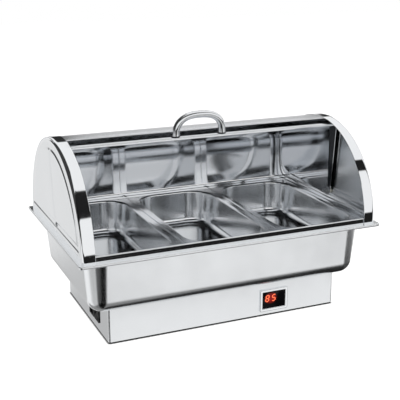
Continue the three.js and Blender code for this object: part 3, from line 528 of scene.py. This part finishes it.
def cap_face():
    """Columns from the foot to the arc; the outward height comes from the distances to the outline."""
    y = -FACE_RADIUS * np.cos(np.linspace(0.02, math.pi - 0.02, 150))[:, None]
    top = COVER_CENTRE + np.sqrt(FACE_RADIUS ** 2 - y ** 2)
    z = FLANGE_TOP + np.linspace(0, 1, 110)[None, :] * (top - FLANGE_TOP)
    y = np.broadcast_to(y, z.shape)
    from_rim = COVER_RADIUS - np.hypot(y, z - COVER_CENTRE)
    from_foot = z - FLANGE_TOP
    panel = rise_between(from_rim, *PANEL_RIM) * rise_between(from_foot, *PANEL_FOOT)
    bar = rise_between(from_foot, *BAR_START) * (1 - rise_between(from_foot, *BAR_STOP))
    bar = bar * rise_between(from_rim, *BAR_RIM)
    from_crease = y - (PIVOT_Y + (z - PIVOT_Z) * CREASE_LEAN)
    crease = 1 - rise_between(np.abs(from_crease), 0.0, CREASE_HALF)
    crease = crease * rise_between(z, PIVOT_Z + 4, PIVOT_Z + 14)
    slope = BEHIND_CREASE * rise_between(from_crease, 0.0, BEHIND_REACH)
    height = PANEL_UP * panel + BAR_UP * bar - CREASE_DEEP * crease * panel - slope * panel
    return sheet(np.stack([CAP_OUTER + height, y, z], -1), np.stack([CAP_INNER + height, y, z], -1))


pair("pressed_cap_face", cap_face(), "cover", FACE, "end_cap")

# %% [markdown]
# ## The fixed back cover and the rolling lid
# Both are sheets rolled to an arc about an axis along the dish, the lid's a little smaller so that it passes
# under the back cover. The free front edges are folded back on themselves. Angles are counted up from the
# front, 90 overhead and 180 behind.

# %% Rolled sheets
LID_RADIUS = 137.99
LID_START = 81.0
LID_END = 179.5
LID_HALF = 266.0
LID_SHELL_HALF = LID_HALF - SHEET
BACK_RADIUS = 167.4
BACK_START = 84.0
BACK_END = 180 - math.degrees(math.asin((FRAME_TOP + SUPPORT - COVER_CENTRE) / (BACK_RADIUS - SHEET)))
HEM = 2.4


def on_arc(centre_y, centre_z, radius, angle):
    """Points on a circle about an axis along x, the angle in degrees counted up from the front."""
    a = np.radians(angle)
    return centre_y - radius * np.cos(a), centre_z + radius * np.sin(a)


def rolled_sheet(centre_y, centre_z, radius, start, end, half):
    """A thin arc whose first few millimetres are doubled, with a rounded nose."""
    nose = np.array([0.0, 0.3, 0.8, 1.4])
    rest = np.linspace(HEM + 2, math.radians(end - start) * radius, 90)
    along = join([nose, [HEM, HEM + 0.8], rest])
    angle = start + np.degrees(along / radius)
    drop = SHEET * np.array([1.0, 0.45, 0.12, 0.0])
    outer_r = np.full(len(along), radius)
    outer_r[:4] -= drop
    inner_r = np.full(len(along), radius - SHEET)
    inner_r[:5] = radius - 2 * SHEET
    inner_r[:4] += drop * 0.9
    grids = []
    for r in (outer_r, inner_r):
        y, z = on_arc(centre_y, centre_z, r, angle)
        x = np.array([-half, half])[:, None]
        grids.append(np.stack([np.broadcast_to(x, (2, len(y))), np.tile(y, (2, 1)), np.tile(z, (2, 1))], -1))
    return sheet(*grids)


BACK = rolled_sheet(0, COVER_CENTRE, BACK_RADIUS, BACK_START, BACK_END, 268.9)
piece("rolled_back_cover", BACK, "cover", BACK_SATIN, ["back_cover"])
LID = rolled_sheet(PIVOT_Y, PIVOT_Z, LID_RADIUS, LID_START, LID_END, LID_SHELL_HALF)
piece("rolled_lid_shell", LID, "lid", COVER_MIRROR, ["lid_shell"])

# %% [markdown]
# ## Lid sides
# A flat plate closes each end of the lid and turns on the pivot. Its front edge is folded in, wider towards
# the top, and meets a square bar across the lid. The fold is the same steel, but its colour is painted
# darker:
# painted shade, standing in for the dark that it mirrors.

# %% Lid sides
APEX = 9.0
PIN_HOLE = 3.35
HEM_FOOT, HEM_HEAD = 6.0, 13.0
HEM_STARTS, HEM_FULL = 6, 15
BAR_DEEP = 4.0
FOLD_BACK = 32.0
LEAN = math.degrees(math.acos(APEX / LID_RADIUS))


def lid_side():
    """Rings that grow from the pin's hole to the outline: the lid's arc and a circle about the pivot."""
    by, bz = on_arc(0, 0, LID_RADIUS, np.linspace(LID_START, LID_END, 70))
    sy, sz = on_arc(0, 0, APEX, np.linspace(LID_END + LEAN, LID_START - LEAN + 360, 40))
    front = np.linspace(0, 1, 24)[1:-1]
    y = join([by, by[-1] + (sy[0] - by[-1]) * front, sy, sy[-1] + (by[0] - sy[-1]) * front])
    z = join([bz, bz[-1] + (sz[0] - bz[-1]) * front, sz, sz[-1] + (bz[0] - sz[-1]) * front])
    reach = np.hypot(y, z)
    grow = np.array([0.0, 0.25, 0.5, 0.75, 1.0])[:, None]
    scale = (PIN_HOLE + (reach - PIN_HOLE) * grow) / reach
    grids = []
    for x in (LID_HALF, LID_SHELL_HALF):
        grids.append(np.stack([np.full(scale.shape, x), PIVOT_Y + y * scale, PIVOT_Z + z * scale], -1))
    return sheet(*grids, wrap=True)


def side_hem():
    """A strip folded past square from the plate's front edge; its width grows from the foot to the head."""
    foot = np.array([0.0, *on_arc(PIVOT_Y, PIVOT_Z, APEX, LID_START - LEAN)])
    head = np.array([0.0, *on_arc(PIVOT_Y, PIVOT_Z, LID_RADIUS, LID_START)])
    length = np.linalg.norm(head - foot)
    way = (head - foot) / length
    back = np.cross([-1.0, 0.0, 0.0], way)
    s = join([np.linspace(HEM_STARTS, HEM_FULL, 8), np.linspace(20, length - BAR_DEEP - 1.5, 30)])
    grown = HEM_FOOT + (HEM_HEAD - HEM_FOOT) * (s - HEM_FULL) / (s[-1] - HEM_FULL)
    width = np.where(s < HEM_FULL, s - HEM_STARTS + 0.4, grown)
    v = np.array([0.0, 0.04, 0.08, 0.92, 0.96, 1.0])
    turn = math.radians(FOLD_BACK)
    inward = np.array([-math.cos(turn), 0.0, 0.0]) + back * math.sin(turn)
    line = foot + s[:, None, None] * way + width[:, None, None] * v[None, :, None] * inward
    line = line + np.array([LID_HALF, 0.0, 0.0])
    round_edge = np.array([0.35, 0.0, 0.0, 0.0, 0.0, 0.35])[None, :, None] * back
    return sheet(line + round_edge, line + back * SHEET - round_edge)


pair("lid_side_plate", lid_side(), "lid", COVER_MIRROR, "lid_side")
# The folds take the steel whose colour is darkened: painted shade.
pair("lid_side_fold", side_hem(), "lid", FOLD_STEEL_PAINTED_SHADE, "lid_side")

# %% [markdown]
# ## Front bar and handle
# The bar is a square section, bent to the lid's curve. The handle is a bent tube: a circle carried along a
# squared half ellipse, always square to it.

# %% Front bar and handle
BAR_OUTER = LID_RADIUS - SHEET - 0.3
BAR_SPAN = 5.6
HANDLE_ANGLE = 90 - 6.1
HANDLE_X = -13.0
HANDLE_HALF = 44.0
HANDLE_RISE = 37.0
TUBE = 6.5
SQUARED = 0.77


def front_bar():
    """A rounded rectangle bent to the lid's curve: across is degrees of arc, deep is radius."""
    span = math.radians(BAR_SPAN) * BAR_OUTER
    ring = rounded_rings([span / 2], [BAR_DEEP / 2], [1.5], [0.0], 6)[0]
    angle = LID_START + np.degrees((ring[:, 0] + span / 2) / BAR_OUTER)
    y, z = on_arc(PIVOT_Y, PIVOT_Z, BAR_OUTER - BAR_DEEP / 2 + ring[:, 1], angle)
    return bar_along_x(264.9, y, z, y.mean(), z.mean(), 0.94)


def handle_tube():
    """A circle carried along x = half cos(t)^p and up = rise sin(t)^p, where p squares the ellipse."""
    t = 0.5 * math.pi * (1 - np.cos(np.linspace(0, math.pi, 73)))
    up = HANDLE_RISE * np.maximum(np.sin(t), 0) ** SQUARED
    x = HANDLE_X - HANDLE_HALF * np.sign(np.cos(t)) * np.abs(np.cos(t)) ** SQUARED
    slope = np.stack([np.gradient(x), np.gradient(up)], -1)
    slope[0], slope[-1] = (0, 1), (0, -1)
    slope /= np.linalg.norm(slope, axis=1, keepdims=True)
    phi = np.linspace(0, 2 * math.pi, 28, endpoint=False)
    side, thick = TUBE * np.cos(phi), TUBE * np.sin(phi)
    ring_x = x[:, None] + slope[:, 1:2] * side
    ring_up = LID_RADIUS + SUPPORT + up[:, None] - slope[:, 0:1] * side
    radial = on_arc(0, 0, 1.0, HANDLE_ANGLE)
    ahead = (-radial[1], radial[0])
    y = PIVOT_Y + ring_up * radial[0] + thick * ahead[0]
    z = PIVOT_Z + ring_up * radial[1] + thick * ahead[1]
    return lofted(np.stack([ring_x, y, z], -1))


piece("lid_front_bar_square", front_bar(), "lid", MIRROR, ["lid_front_bar"])
piece("bent_tube_handle", handle_tube(), "lid", HANDLE_STEEL, ["lid_handle"])

# %% [markdown]
# ## Washers under the handle
# A thin rubber washer lies between each foot of the tube and the lid, and shows as a dark line. It is a
# turned part: a profile of radius and height that is spun about an axis.

# %% Turned parts and the handle's washers


def together(*parts):
    """Several closed surfaces as one list of points and faces."""
    points, faces, start = [], [], 0
    for p, f in parts:
        points.append(p)
        faces += [[i + start for i in face] for face in f]
        start += len(p)
    return join(points), faces


def turned(profile, origin, axis, start, steps=40, sides=0):
    """A profile of radius and height turned about an axis; with sides given the turning is a polygon."""
    profile = np.asarray(profile, float)
    axis, start = np.asarray(axis, float), np.asarray(start, float)
    other = np.cross(axis, start)
    phi = np.linspace(0, 2 * math.pi, steps, endpoint=False)
    swell = np.ones(steps)
    if sides:
        swell = 1 / np.cos((phi + math.pi / sides) % (2 * math.pi / sides) - math.pi / sides)
    radius = profile[:, 0, None] * swell
    rings = (np.asarray(origin, float) + profile[:, 1, None, None] * axis
             + radius[..., None] * (np.cos(phi)[:, None] * start + np.sin(phi)[:, None] * other))
    return lofted(rings)


def handle_washer(x):
    """A thin disc with rounded edges, square to the lid."""
    radial = np.array([0.0, *on_arc(0, 0, 1.0, HANDLE_ANGLE)])
    origin = np.array([x, PIVOT_Y, PIVOT_Z]) + radial * (LID_RADIUS + 0.35)
    profile = [(7.5, 0.0), (7.8, 0.3), (7.8, 0.8), (7.5, 1.1), (6.6, 1.2)]
    return turned(profile, origin, radial, (1.0, 0.0, 0.0))


WASHERS = together(handle_washer(HANDLE_X - HANDLE_HALF), handle_washer(HANDLE_X + HANDLE_HALF))
piece("rubber_handle_washers", WASHERS, "lid", RUBBER, [])

# %% [markdown]
# ## Pivots and stops
# A domed pin passes through each cap and lid side, with a nylon washer between the plates and a flanged nut
# inside. All are turned about the pivot's axis, and the nut's upper half is a hexagon. A small rubber pad
# stops the closing lid.

# %% Pivots and stops
RING_STEPS = 48


def pivot_pin():
    """Shank and domed head, along x."""
    profile = [(2.6, 261.6), (3.0, 262.2), (3.0, 270.0), (4.6, 270.0)]
    profile += [(4.6 * math.cos(a), 270.2 + 1.6 * math.sin(a)) for a in arc(0, 86, 8)]
    return turned(profile, (0, PIVOT_Y, PIVOT_Z), (1, 0, 0), (0, 1, 0))


def ring_part(profile, sides=0):
    """A turned ring: a closed section that doesn't touch the axis."""
    points, _ = turned(profile, (0, PIVOT_Y, PIVOT_Z), (1, 0, 0), (0, 1, 0), RING_STEPS, sides)
    return looped(points.reshape(len(profile), RING_STEPS, 3))


def stop_pad():
    """A small block whose edges draw in at its foot and its top."""
    points, faces = lofted(rounded_rings([0.7, 1.2, 1.2, 0.7], [5.5, 6.0, 6.0, 5.5], 0.6,
                                         [FRAME_TOP, FRAME_TOP + 0.4, 175.4, 175.9], 5))
    return points + np.array([266.9, -148.0, 0.0]), faces


WASHER = ring_part([(3.4, 266.3), (6.3, 266.3), (6.5, 266.6), (6.5, 268.9), (6.3, 269.2), (3.4, 269.2)])
NUT = ring_part([(3.4, 261.9), (4.4, 261.9), (4.7, 262.4), (4.7, 263.7), (3.4, 263.7)], 6)
NUT_FLANGE = ring_part([(3.4, 263.7), (5.0, 263.7), (6.0, 264.2), (6.0, 264.8), (3.4, 264.9)])
pair("domed_pivot_pin", pivot_pin(), "cover", ZINC, "pivot_pin")
pair("nylon_washer", WASHER, "cover", NYLON_PALE, "pivot_washer")
pair("flanged_nut", together(NUT, NUT_FLANGE), "cover", ZINC, "pivot_nut")
pair("lid_stop_pad", stop_pad(), "cover", RUBBER, "stop_pad")

# %% [markdown]
# ## Bezel and window
# A buffed bezel frames the smoked window on the front of the base. Its section is a low ramp, carried round a
# rounded rectangle, and the window is a flat lens that fills it.

# %% Bezel and window
BASE_FRONT = -122.0
DISPLAY_X = 93.5
DISPLAY_Z = 29.5


def upright_ring(inset, forward, half_x, half_z, radius, steps=6):
    """Rounded rectangles that stand in the base's front, from insets and distances in front of it."""
    corner = np.maximum(radius - inset, 0.3)
    rings = rounded_rings(half_x - inset, half_z - inset, corner, np.zeros(len(inset)), steps)
    return np.stack([DISPLAY_X + rings[..., 0],
                     BASE_FRONT - np.broadcast_to(forward[:, None], rings.shape[:2]),
                     DISPLAY_Z + rings[..., 1]], -1)


bend = arc(0, 90, 5)
bezel_in = join([[0.0, 0.0], 1.0 - np.cos(bend), [1.3, 4.1], 4.4 + np.sin(bend), [5.5, 5.5]])
bezel_out = join([[0.0, 1.7], 2.0 + np.sin(bend), [3.0, 3.0], 2.0 + np.cos(bend), [1.6, 0.0]])
BEZEL = looped(upright_ring(bezel_in, bezel_out, half_x=28.0, half_z=21.0, radius=2.5))
piece("buffed_display_bezel", BEZEL, "base", MIRROR, ["display_bezel"])
LENS = lofted(upright_ring(np.array([0.0, 0.0, 0.2]), np.array([0.4, 2.3, 2.4]), half_x=22.2, half_z=15.2,
                           radius=0.8))
piece("smoked_display_window", LENS, "base", WINDOW, ["display_window"])

# %% [markdown]
# ## The lit figures
# The figures are seven segment digits that lean to the right, so each lit segment is a long hexagon, sheared
# by its height. They are kept out of reflections, where they would glow too strongly.

# %% Lit figures
DIGIT_WIDE, DIGIT_TALL, STROKE, STROKE_GAP = 5.9, 11.4, 1.9, 0.3
DIGIT_LEAN, DIGIT_UP = 0.14, 3.5
DIGIT_BACK, DIGIT_FACE = 2.41, 2.7
STROKES = {"top": (0, 1, 0), "middle": (0, 0, 0), "bottom": (0, -1, 0), "upper_left": (-1, 0.5, 1),
           "upper_right": (1, 0.5, 1), "lower_left": (-1, -0.5, 1), "lower_right": (1, -0.5, 1)}
LIT = (tuple(STROKES), ("top", "middle", "bottom", "upper_left", "lower_right"))


def digit(names, centre_x):
    """Long hexagons, one for each lit stroke, laid across or upright, then sheared and given a thickness."""
    parts = []
    for name in names:
        px, pz, standing = STROKES[name]
        long = (DIGIT_TALL / 2 if standing else DIGIT_WIDE) / 2 - STROKE_GAP
        bevel = long - STROKE / 2
        u = np.array([-long, -bevel, bevel, long, bevel, -bevel])
        w = np.array([0, -STROKE / 2, -STROKE / 2, 0, STROKE / 2, STROKE / 2])
        dx, dz = (w, u) if standing else (u, w)
        z = pz * DIGIT_TALL / 2 + dz
        x = centre_x + px * DIGIT_WIDE / 2 + dx + z * DIGIT_LEAN
        ring = np.stack([x, np.full(6, BASE_FRONT), DISPLAY_Z + DIGIT_UP + z], -1)
        parts.append(lofted(np.stack([ring - [0, DIGIT_BACK, 0], ring - [0, DIGIT_FACE, 0]])))
    return together(*parts)


for number, (names, x) in enumerate(zip(LIT, (80.2, 93.2)), 1):
    lit = piece(f"lit_digit_{number}", digit(names, x), "base", SEGMENTS, [f"display_digit_{number}"])
    lit.visible_glossy = False

# %% [markdown]
# ## Switch and inlet
# On the left side of the base sit a rocker switch and a power inlet, both moulded and pushed in from outside.
# Each is a flange with a well: rounded rectangles that step outwards, over the flange's edge and down into
# the well. One row of a table is one rectangle: half width, half height, radius and distance out.

# %% Switch body and inlet
BASE_LEFT = -217.0
SWITCH_Y, SWITCH_Z = -58.5, 32.0
INLET_Y, INLET_Z = -29.0, 32.0
SWITCH_STEPS = ((11.5, 14, 1, -22), (11.5, 14, 1, 0), (12.8, 15.3, 1.5, 0), (13, 15.5, 1.6, 0.3),
                (13, 15.5, 1.6, 1.3), (12.5, 15, 1.2, 1.8), (10.2, 12.7, 0.6, 1.8), (10, 12.5, 0.5, 1.4),
                (10, 12.5, 0.5, -10))
INLET_STEPS = ((11, 15, 1, -24), (11, 15, 1, 0), (13.3, 15.8, 1.8, 0), (13.5, 16, 2, 0.3), (13.5, 16, 2, 1.1),
               (13, 15.5, 1.6, 1.6), (8.8, 12.8, 2.8, 1.6), (8.5, 12.5, 2.5, 1.2), (8.5, 12.5, 2.5, -15))


def side_fitting(rows, centre_y, centre_z):
    """Rounded rectangles that stand in the base's left side, joined to one closed surface."""
    rings = rounded_rings(*np.array(rows, float).T, 5)
    x, y, z = BASE_LEFT - rings[..., 2], centre_y + rings[..., 0], centre_z + rings[..., 1]
    return lofted(np.stack([x, y, z], -1))


SWITCH = side_fitting(SWITCH_STEPS, SWITCH_Y, SWITCH_Z)
piece("moulded_switch_body", SWITCH, "base", NYLON_BLACK, ["switch_body"])
INLET = side_fitting(INLET_STEPS, INLET_Y, INLET_Z)
piece("moulded_power_inlet", INLET, "base", NYLON_BLACK, ["power_inlet"])

# %% [markdown]
# ## The rocker
# The rocker is a paddle that dips in the middle. Its face is a power of the distance from there, with smooth
# steps round its edges.

# %% Rocker
ROCKER_WIDE, ROCKER_TALL = 9.6, 11.4
ROCKER_OUT, ROCKER_TILT = 1.5, math.radians(7)


def rocker():
    """Outwards it stands 1.4 + 1.6 |v|^1.8 mm, less at its edges; then it leans to its lower side."""
    vv, ww = np.meshgrid(np.linspace(-1, 1, 25), np.linspace(-1, 1, 11), indexing="ij")
    dip = 1.4 + 1.6 * np.abs(vv) ** 1.8
    edge = 0.7 * (rise_between(np.abs(vv), 0.9, 1.0) + rise_between(np.abs(ww), 0.85, 1.0))
    deep = 6.0 - 3.6 * rise_between(np.abs(vv), 0.45, 1.0)
    grids = [np.stack([x, ww * ROCKER_WIDE, vv * ROCKER_TALL], -1) for x in (-(dip - edge), deep)]
    points, faces = sheet(*grids)
    x = points[:, 0] * math.cos(ROCKER_TILT) + points[:, 2] * math.sin(ROCKER_TILT)
    z = -points[:, 0] * math.sin(ROCKER_TILT) + points[:, 2] * math.cos(ROCKER_TILT)
    return np.stack([BASE_LEFT + ROCKER_OUT + x, points[:, 1] + SWITCH_Y, SWITCH_Z + z], -1), faces


piece("moulded_switch_rocker", rocker(), "rocker", NYLON_BLACK, ["switch_rocker"])

# %% [markdown]
# ## Feet
# Four soft rubber feet keep the steel off the table. They are turned discs with a rounded lower edge.

# %% Feet
FOOT_X, FOOT_Y = 203, 108
FOOT_SHAPE = [(7.0, 0.0), (7.6, 0.3), (8.0, 0.9), (8.0, 2.4), (7.9, 2.5)]
corners = ((-FOOT_X, -FOOT_Y), (FOOT_X, -FOOT_Y), (-FOOT_X, FOOT_Y), (FOOT_X, FOOT_Y))
for number, (x, y) in enumerate(corners, 1):
    foot = turned(FOOT_SHAPE, (x, y, 0), (0, 0, 1), (1, 0, 0))
    piece(f"rubber_foot_{number}", foot, "base", RUBBER, [f"foot_{number}"])

# %% [markdown]
# ## Finishes for the CAD solids that still show
# The folded base housing is flat sheet, so its solid is kept, and so are the parts inside it. Each gets the
# finish of its real material.

# %% Finishes of the remaining solids
FINISH = {
    "base_housing": HOUSING, "bottom_plate": ZINC, "heater_plate": CAST, "heating_element": BRIGHT,
    "temperature_probe": BRIGHT, "control_board": BOARD, "board_relay": NYLON_BLACK,
    "board_transformer": CAST, "terminal_block": NYLON_PALE, "heater_bridge": ZINC, "bottom_screw": ZINC,
    "handle_screw": ZINC, "board_standoff": NYLON_PALE, "inlet_blade": NICKEL,
}
finished = 0
for name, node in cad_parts.items():
    kind = next((k for k in FINISH if name.startswith(k)), None)
    if kind:
        node.data.materials.clear()
        node.data.materials.append(FINISH[kind])
        finished += 1
    elif not node.hide_render:
        print("no finish for", name)
print(finished, "solids have a finish")

# %% [markdown]
# ## The studio
# A mirror has no look of its own, so the studio is planned for its reflections: white all round, with a dark
# horizon, a dark strip high in front, a dark ceiling edge and dark flats. Only reflections see them, and what
# the camera sees behind the dish is plain white. Two angles place a flat. The sweep is measured across the
# dish, 0 at the front, 90 overhead and 180 behind, because the curved sheets sweep exactly that angle. The
# turn is measured round it, 0 at the front and 90 on the right.

# %% Directions in the studio
world = bpy.data.worlds.new("white_studio")
bpy.context.scene.world = world
world.use_nodes = True
tree = world.node_tree
tree.nodes.clear()
way = add(tree, "SeparateXYZ", Vector=add(tree, "TexCoord").outputs["Generated"])
front = add(tree, "Math", operation="MULTIPLY", i0=way.outputs["Y"], i1=-1.0)
angles = []
for axis in "ZX":
    angle = add(tree, "Math", operation="ARCTAN2", i0=way.outputs[axis], i1=front)
    angles.append(add(tree, "Math", operation="MULTIPLY", i0=angle, i1=180 / math.pi))
sweep, turn = angles
across, up = way.outputs["X"], way.outputs["Z"]
down = add(tree, "Math", operation="MULTIPLY", i0=up, i1=-1.0)
print("directions:", len(tree.nodes), "nodes")

# %% [markdown]
# ## Patterns in the studio
# A flat is a pattern that is 1 where it stands and 0 elsewhere, with soft edges. Small functions cut bands,
# join them and turn them inside out, so that each flat reads as one line.

# %% Patterns


def soft_edge(value, low, high):
    """0 below low, 1 above high, and a smooth rise between them."""
    return add(tree, "MapRange", interpolation_type="SMOOTHSTEP", Value=value, From_Min=low, From_Max=high)


def band(value, low, high, soft):
    """1 between two values and 0 outside, with soft edges."""
    rising = soft_edge(value, low - soft, low + soft)
    falling = soft_edge(value, high - soft, high + soft)
    return add(tree, "Math", operation="SUBTRACT", i0=rising, i1=falling)


def both(a, b):
    """Where two patterns overlap."""
    return add(tree, "Math", operation="MULTIPLY", i0=a, i1=b)


def outside(pattern):
    """1 where a pattern is 0."""
    return add(tree, "Math", operation="SUBTRACT", i0=1.0, i1=pattern)


right_share = add(tree, "MapRange", Value=across, From_Min=0.25, From_Max=0.54)


def above(sweep_left, rise, soft):
    """1 above a line in the sweep that rises from the left to the right."""
    line = add(tree, "Math", operation="MULTIPLY_ADD", i0=right_share, i1=rise, i2=sweep_left)
    over = add(tree, "Math", operation="SUBTRACT", i0=sweep, i1=line)
    return soft_edge(over, -soft, soft)


below = soft_edge(down, 0.35, 0.39)
steep = soft_edge(down, 0.43, 0.46)
level = soft_edge(up, -0.12, -0.05)
at_ends = outside(band(across, 0.252, 0.515, 0.006))
narrow = band(across, -0.6, 0.62, 0.05)
ceiling_end = outside(soft_edge(sweep, 178.0, 181.0))
ceiling_right = both(at_ends, soft_edge(across, 0.1, 0.15))
print("patterns:", len(tree.nodes), "nodes")

# %% [markdown]
# ## Flats and light
# Each flat takes a share of the light away. The list says where it stands. From the second reflection on, the
# light is drawn towards white again, so that the insides of the pans don't go black.

# %% Flats and light
flats = [
    # The horizon, whose upper line rises to the right, and the strip high in front.
    (both(band(sweep, -23.5, 60.0, 0.8), outside(above(-9.7, 4.2, 0.8))), 0.985),
    (both(above(32.0, 17.5, 1.0), outside(soft_edge(sweep, 64.0, 66.0))), 0.985),
    # The ceiling behind, on the right, and two parts in the gap of its middle.
    (both(both(above(150.0, 8.0, 1.5), ceiling_end), ceiling_right), 0.97),
    (both(band(sweep, 134.0, 147.5, 1.0), outside(at_ends)), 0.95),
    (both(band(sweep, 161.0, 181.0, 3.0), outside(at_ends)), 0.4),
    # Low in front, steep and less steep, and low on the left.
    (both(steep, band(turn, -52.0, 12.0, 3.0)), 0.995),
    (both(below, band(turn, -24.0, 12.0, 3.0)), 0.99),
    (both(both(below, outside(steep)), band(turn, -95.0, -45.0, 3.0)), 0.93),
    # Low on the right, and a tall flat on the left that reaches behind.
    (both(below, band(turn, 42.0, 140.0, 3.0)), 0.93),
    (both(level, band(turn, -163.0, -55.0, 3.0)), 0.95),
    # Right under the dish, and a soft grey low on the left.
    (both(band(sweep, -138.0, -41.0, 4.0), narrow), 0.72),
    (both(below, band(turn, -95.0, -52.0, 14.0)), 0.4),
    # Low behind: two slight greys.
    (band(sweep, -181.0, -157.5, 1.5), 0.15),
    (band(sweep, -157.5, -148.0, 1.5), 0.45),
]
NON_GLOSSY_LIGHT, FILLED_LIGHT, FILL_SHARE = 0.8, 0.98, 0.8
light = 1.0
for pattern, amount in flats:
    keep = add(tree, "Math", operation="MULTIPLY_ADD", i0=pattern, i1=-amount, i2=1.0)
    light = both(light, keep)
path = add(tree, "LightPath").outputs
again = both(soft_edge(path["Ray Depth"], 2.4, 2.6), FILL_SHARE)
missing = add(tree, "Math", operation="SUBTRACT", i0=FILLED_LIGHT, i1=light)
light = add(tree, "Math", operation="MULTIPLY_ADD", i0=missing, i1=again, i2=light)
mixed = add(tree, "Mix", data_type="FLOAT", Factor=path["Is Glossy Ray"], i2=NON_GLOSSY_LIGHT, i3=light)
seen = add(tree, "Math", operation="MAXIMUM", i0=path["Is Camera Ray"], i1=path["Is Transmission Ray"])
final = add(tree, "Mix", data_type="FLOAT", Factor=seen, i2=mixed, i3=1.0)
background = add(tree, "Background", Color=(1, 1, 1, 1), Strength=final)
add(tree, "OutputWorld", Surface=background)
print(len(flats), "flats")

# %% [markdown]
# ## The floor
# The floor is a white sheet. A thin dark line shows where the dish stands on it: ambient occlusion over a few
# millimetres, raised to a power so that it ends soon. Reflections don't see the floor, only the studio.

# %% Floor
FLOOR_HALF = 6
CONTACT = 0.004
CONTACT_POWER = 6.0
FLOOR_GLOW = 0.92
floor_mesh = bpy.data.meshes.new("floor")
floor_corners = [(x * FLOOR_HALF, y * FLOOR_HALF, 0) for x, y in ((-1, -1), (1, -1), (1, 1), (-1, 1))]
floor_mesh.from_pydata(floor_corners, [], [(0, 1, 2, 3)])
floor = new_object("floor", floor_mesh)
floor_material = bpy.data.materials.new("white_paper_floor")
floor_material.use_nodes = True
tree = floor_material.node_tree
tree.nodes.clear()
gap = add(tree, "AmbientOcclusion", samples=8, Distance=CONTACT).outputs["AO"]
open_floor = add(tree, "Math", operation="POWER", i0=gap, i1=CONTACT_POWER)
shade = add(tree, "Mix", data_type="RGBA", Factor=open_floor, i6=colour("#0A0A0A"), i7=colour("#8C8C8C"))
paper = add(tree, "BsdfDiffuse", Color=shade.outputs[2])
camera_ray = add(tree, "LightPath").outputs["Is Camera Ray"]
glow_power = both(both(camera_ray, open_floor), FLOOR_GLOW)
glow = add(tree, "Emission", Color=(1, 1, 1, 1), Strength=glow_power)
surface = add(tree, "AddShader", i0=paper, i1=glow)
add(tree, "OutputMaterial", Surface=surface)
floor_mesh.materials.append(floor_material)
floor.visible_glossy = False
print("floor", 2 * FLOOR_HALF, "metres wide")

# %% [markdown]
# ## Lamps
# Two large soft lamps light the plastics and the floor. They are kept out of the reflections, so that the
# steel shows only the studio.

# %% Lamps


def lamp(name, place, power, aim=(0, 0, 0.15), size=1.6):
    """A square area lamp that points at a place."""
    data = bpy.data.lights.new(name, "AREA")
    data.size, data.energy = size, power
    obj = new_object(name, data)
    obj.location = place
    obj.rotation_euler = (Vector(aim) - Vector(place)).to_track_quat("-Z", "Y").to_euler()
    obj.visible_glossy = False
    print(f"{name}: {power} W over {size} m")


lamp("soft_key", (-1.2, -1.6, 2.2), power=22)
lamp("soft_fill", (1.8, -0.8, 1.6), power=10)

# %% [markdown]
# ## Camera
# The camera stands where the photo was taken from, found from the dish's own corners: it looks down a little,
# from the left. Its axes are worked out from three angles, and its focal length from pixels.

# %% Camera
YAW, PITCH, ROLL = math.radians(23.66), math.radians(16.56), math.radians(-0.08)
SENSOR = 36.0
FOCAL_PIXELS, IMAGE_PIXELS = 850.6, 400
ahead = Vector((math.sin(YAW) * math.cos(PITCH), math.cos(YAW) * math.cos(PITCH), -math.sin(PITCH)))
right = Vector((math.cos(YAW), -math.sin(YAW), 0.0))
up = right.cross(ahead)
rolled_right = right * math.cos(ROLL) - up * math.sin(ROLL)
rolled_up = up * math.cos(ROLL) + right * math.sin(ROLL)
camera_data = bpy.data.cameras.new("camera")
camera_data.sensor_width = SENSOR
camera_data.lens = FOCAL_PIXELS / IMAGE_PIXELS * SENSOR
camera_data.clip_start, camera_data.clip_end = 0.05, 50.0
camera = new_object("camera", camera_data)
facing = Matrix((rolled_right, rolled_up, -ahead)).transposed().to_4x4()
facing.translation = Vector((-0.5976, -1.3695, 0.6373))
camera.matrix_world = facing
bpy.context.scene.camera = camera
bpy.context.scene.view_settings.view_transform = "Standard"
print("lens", round(camera_data.lens, 2), "mm")
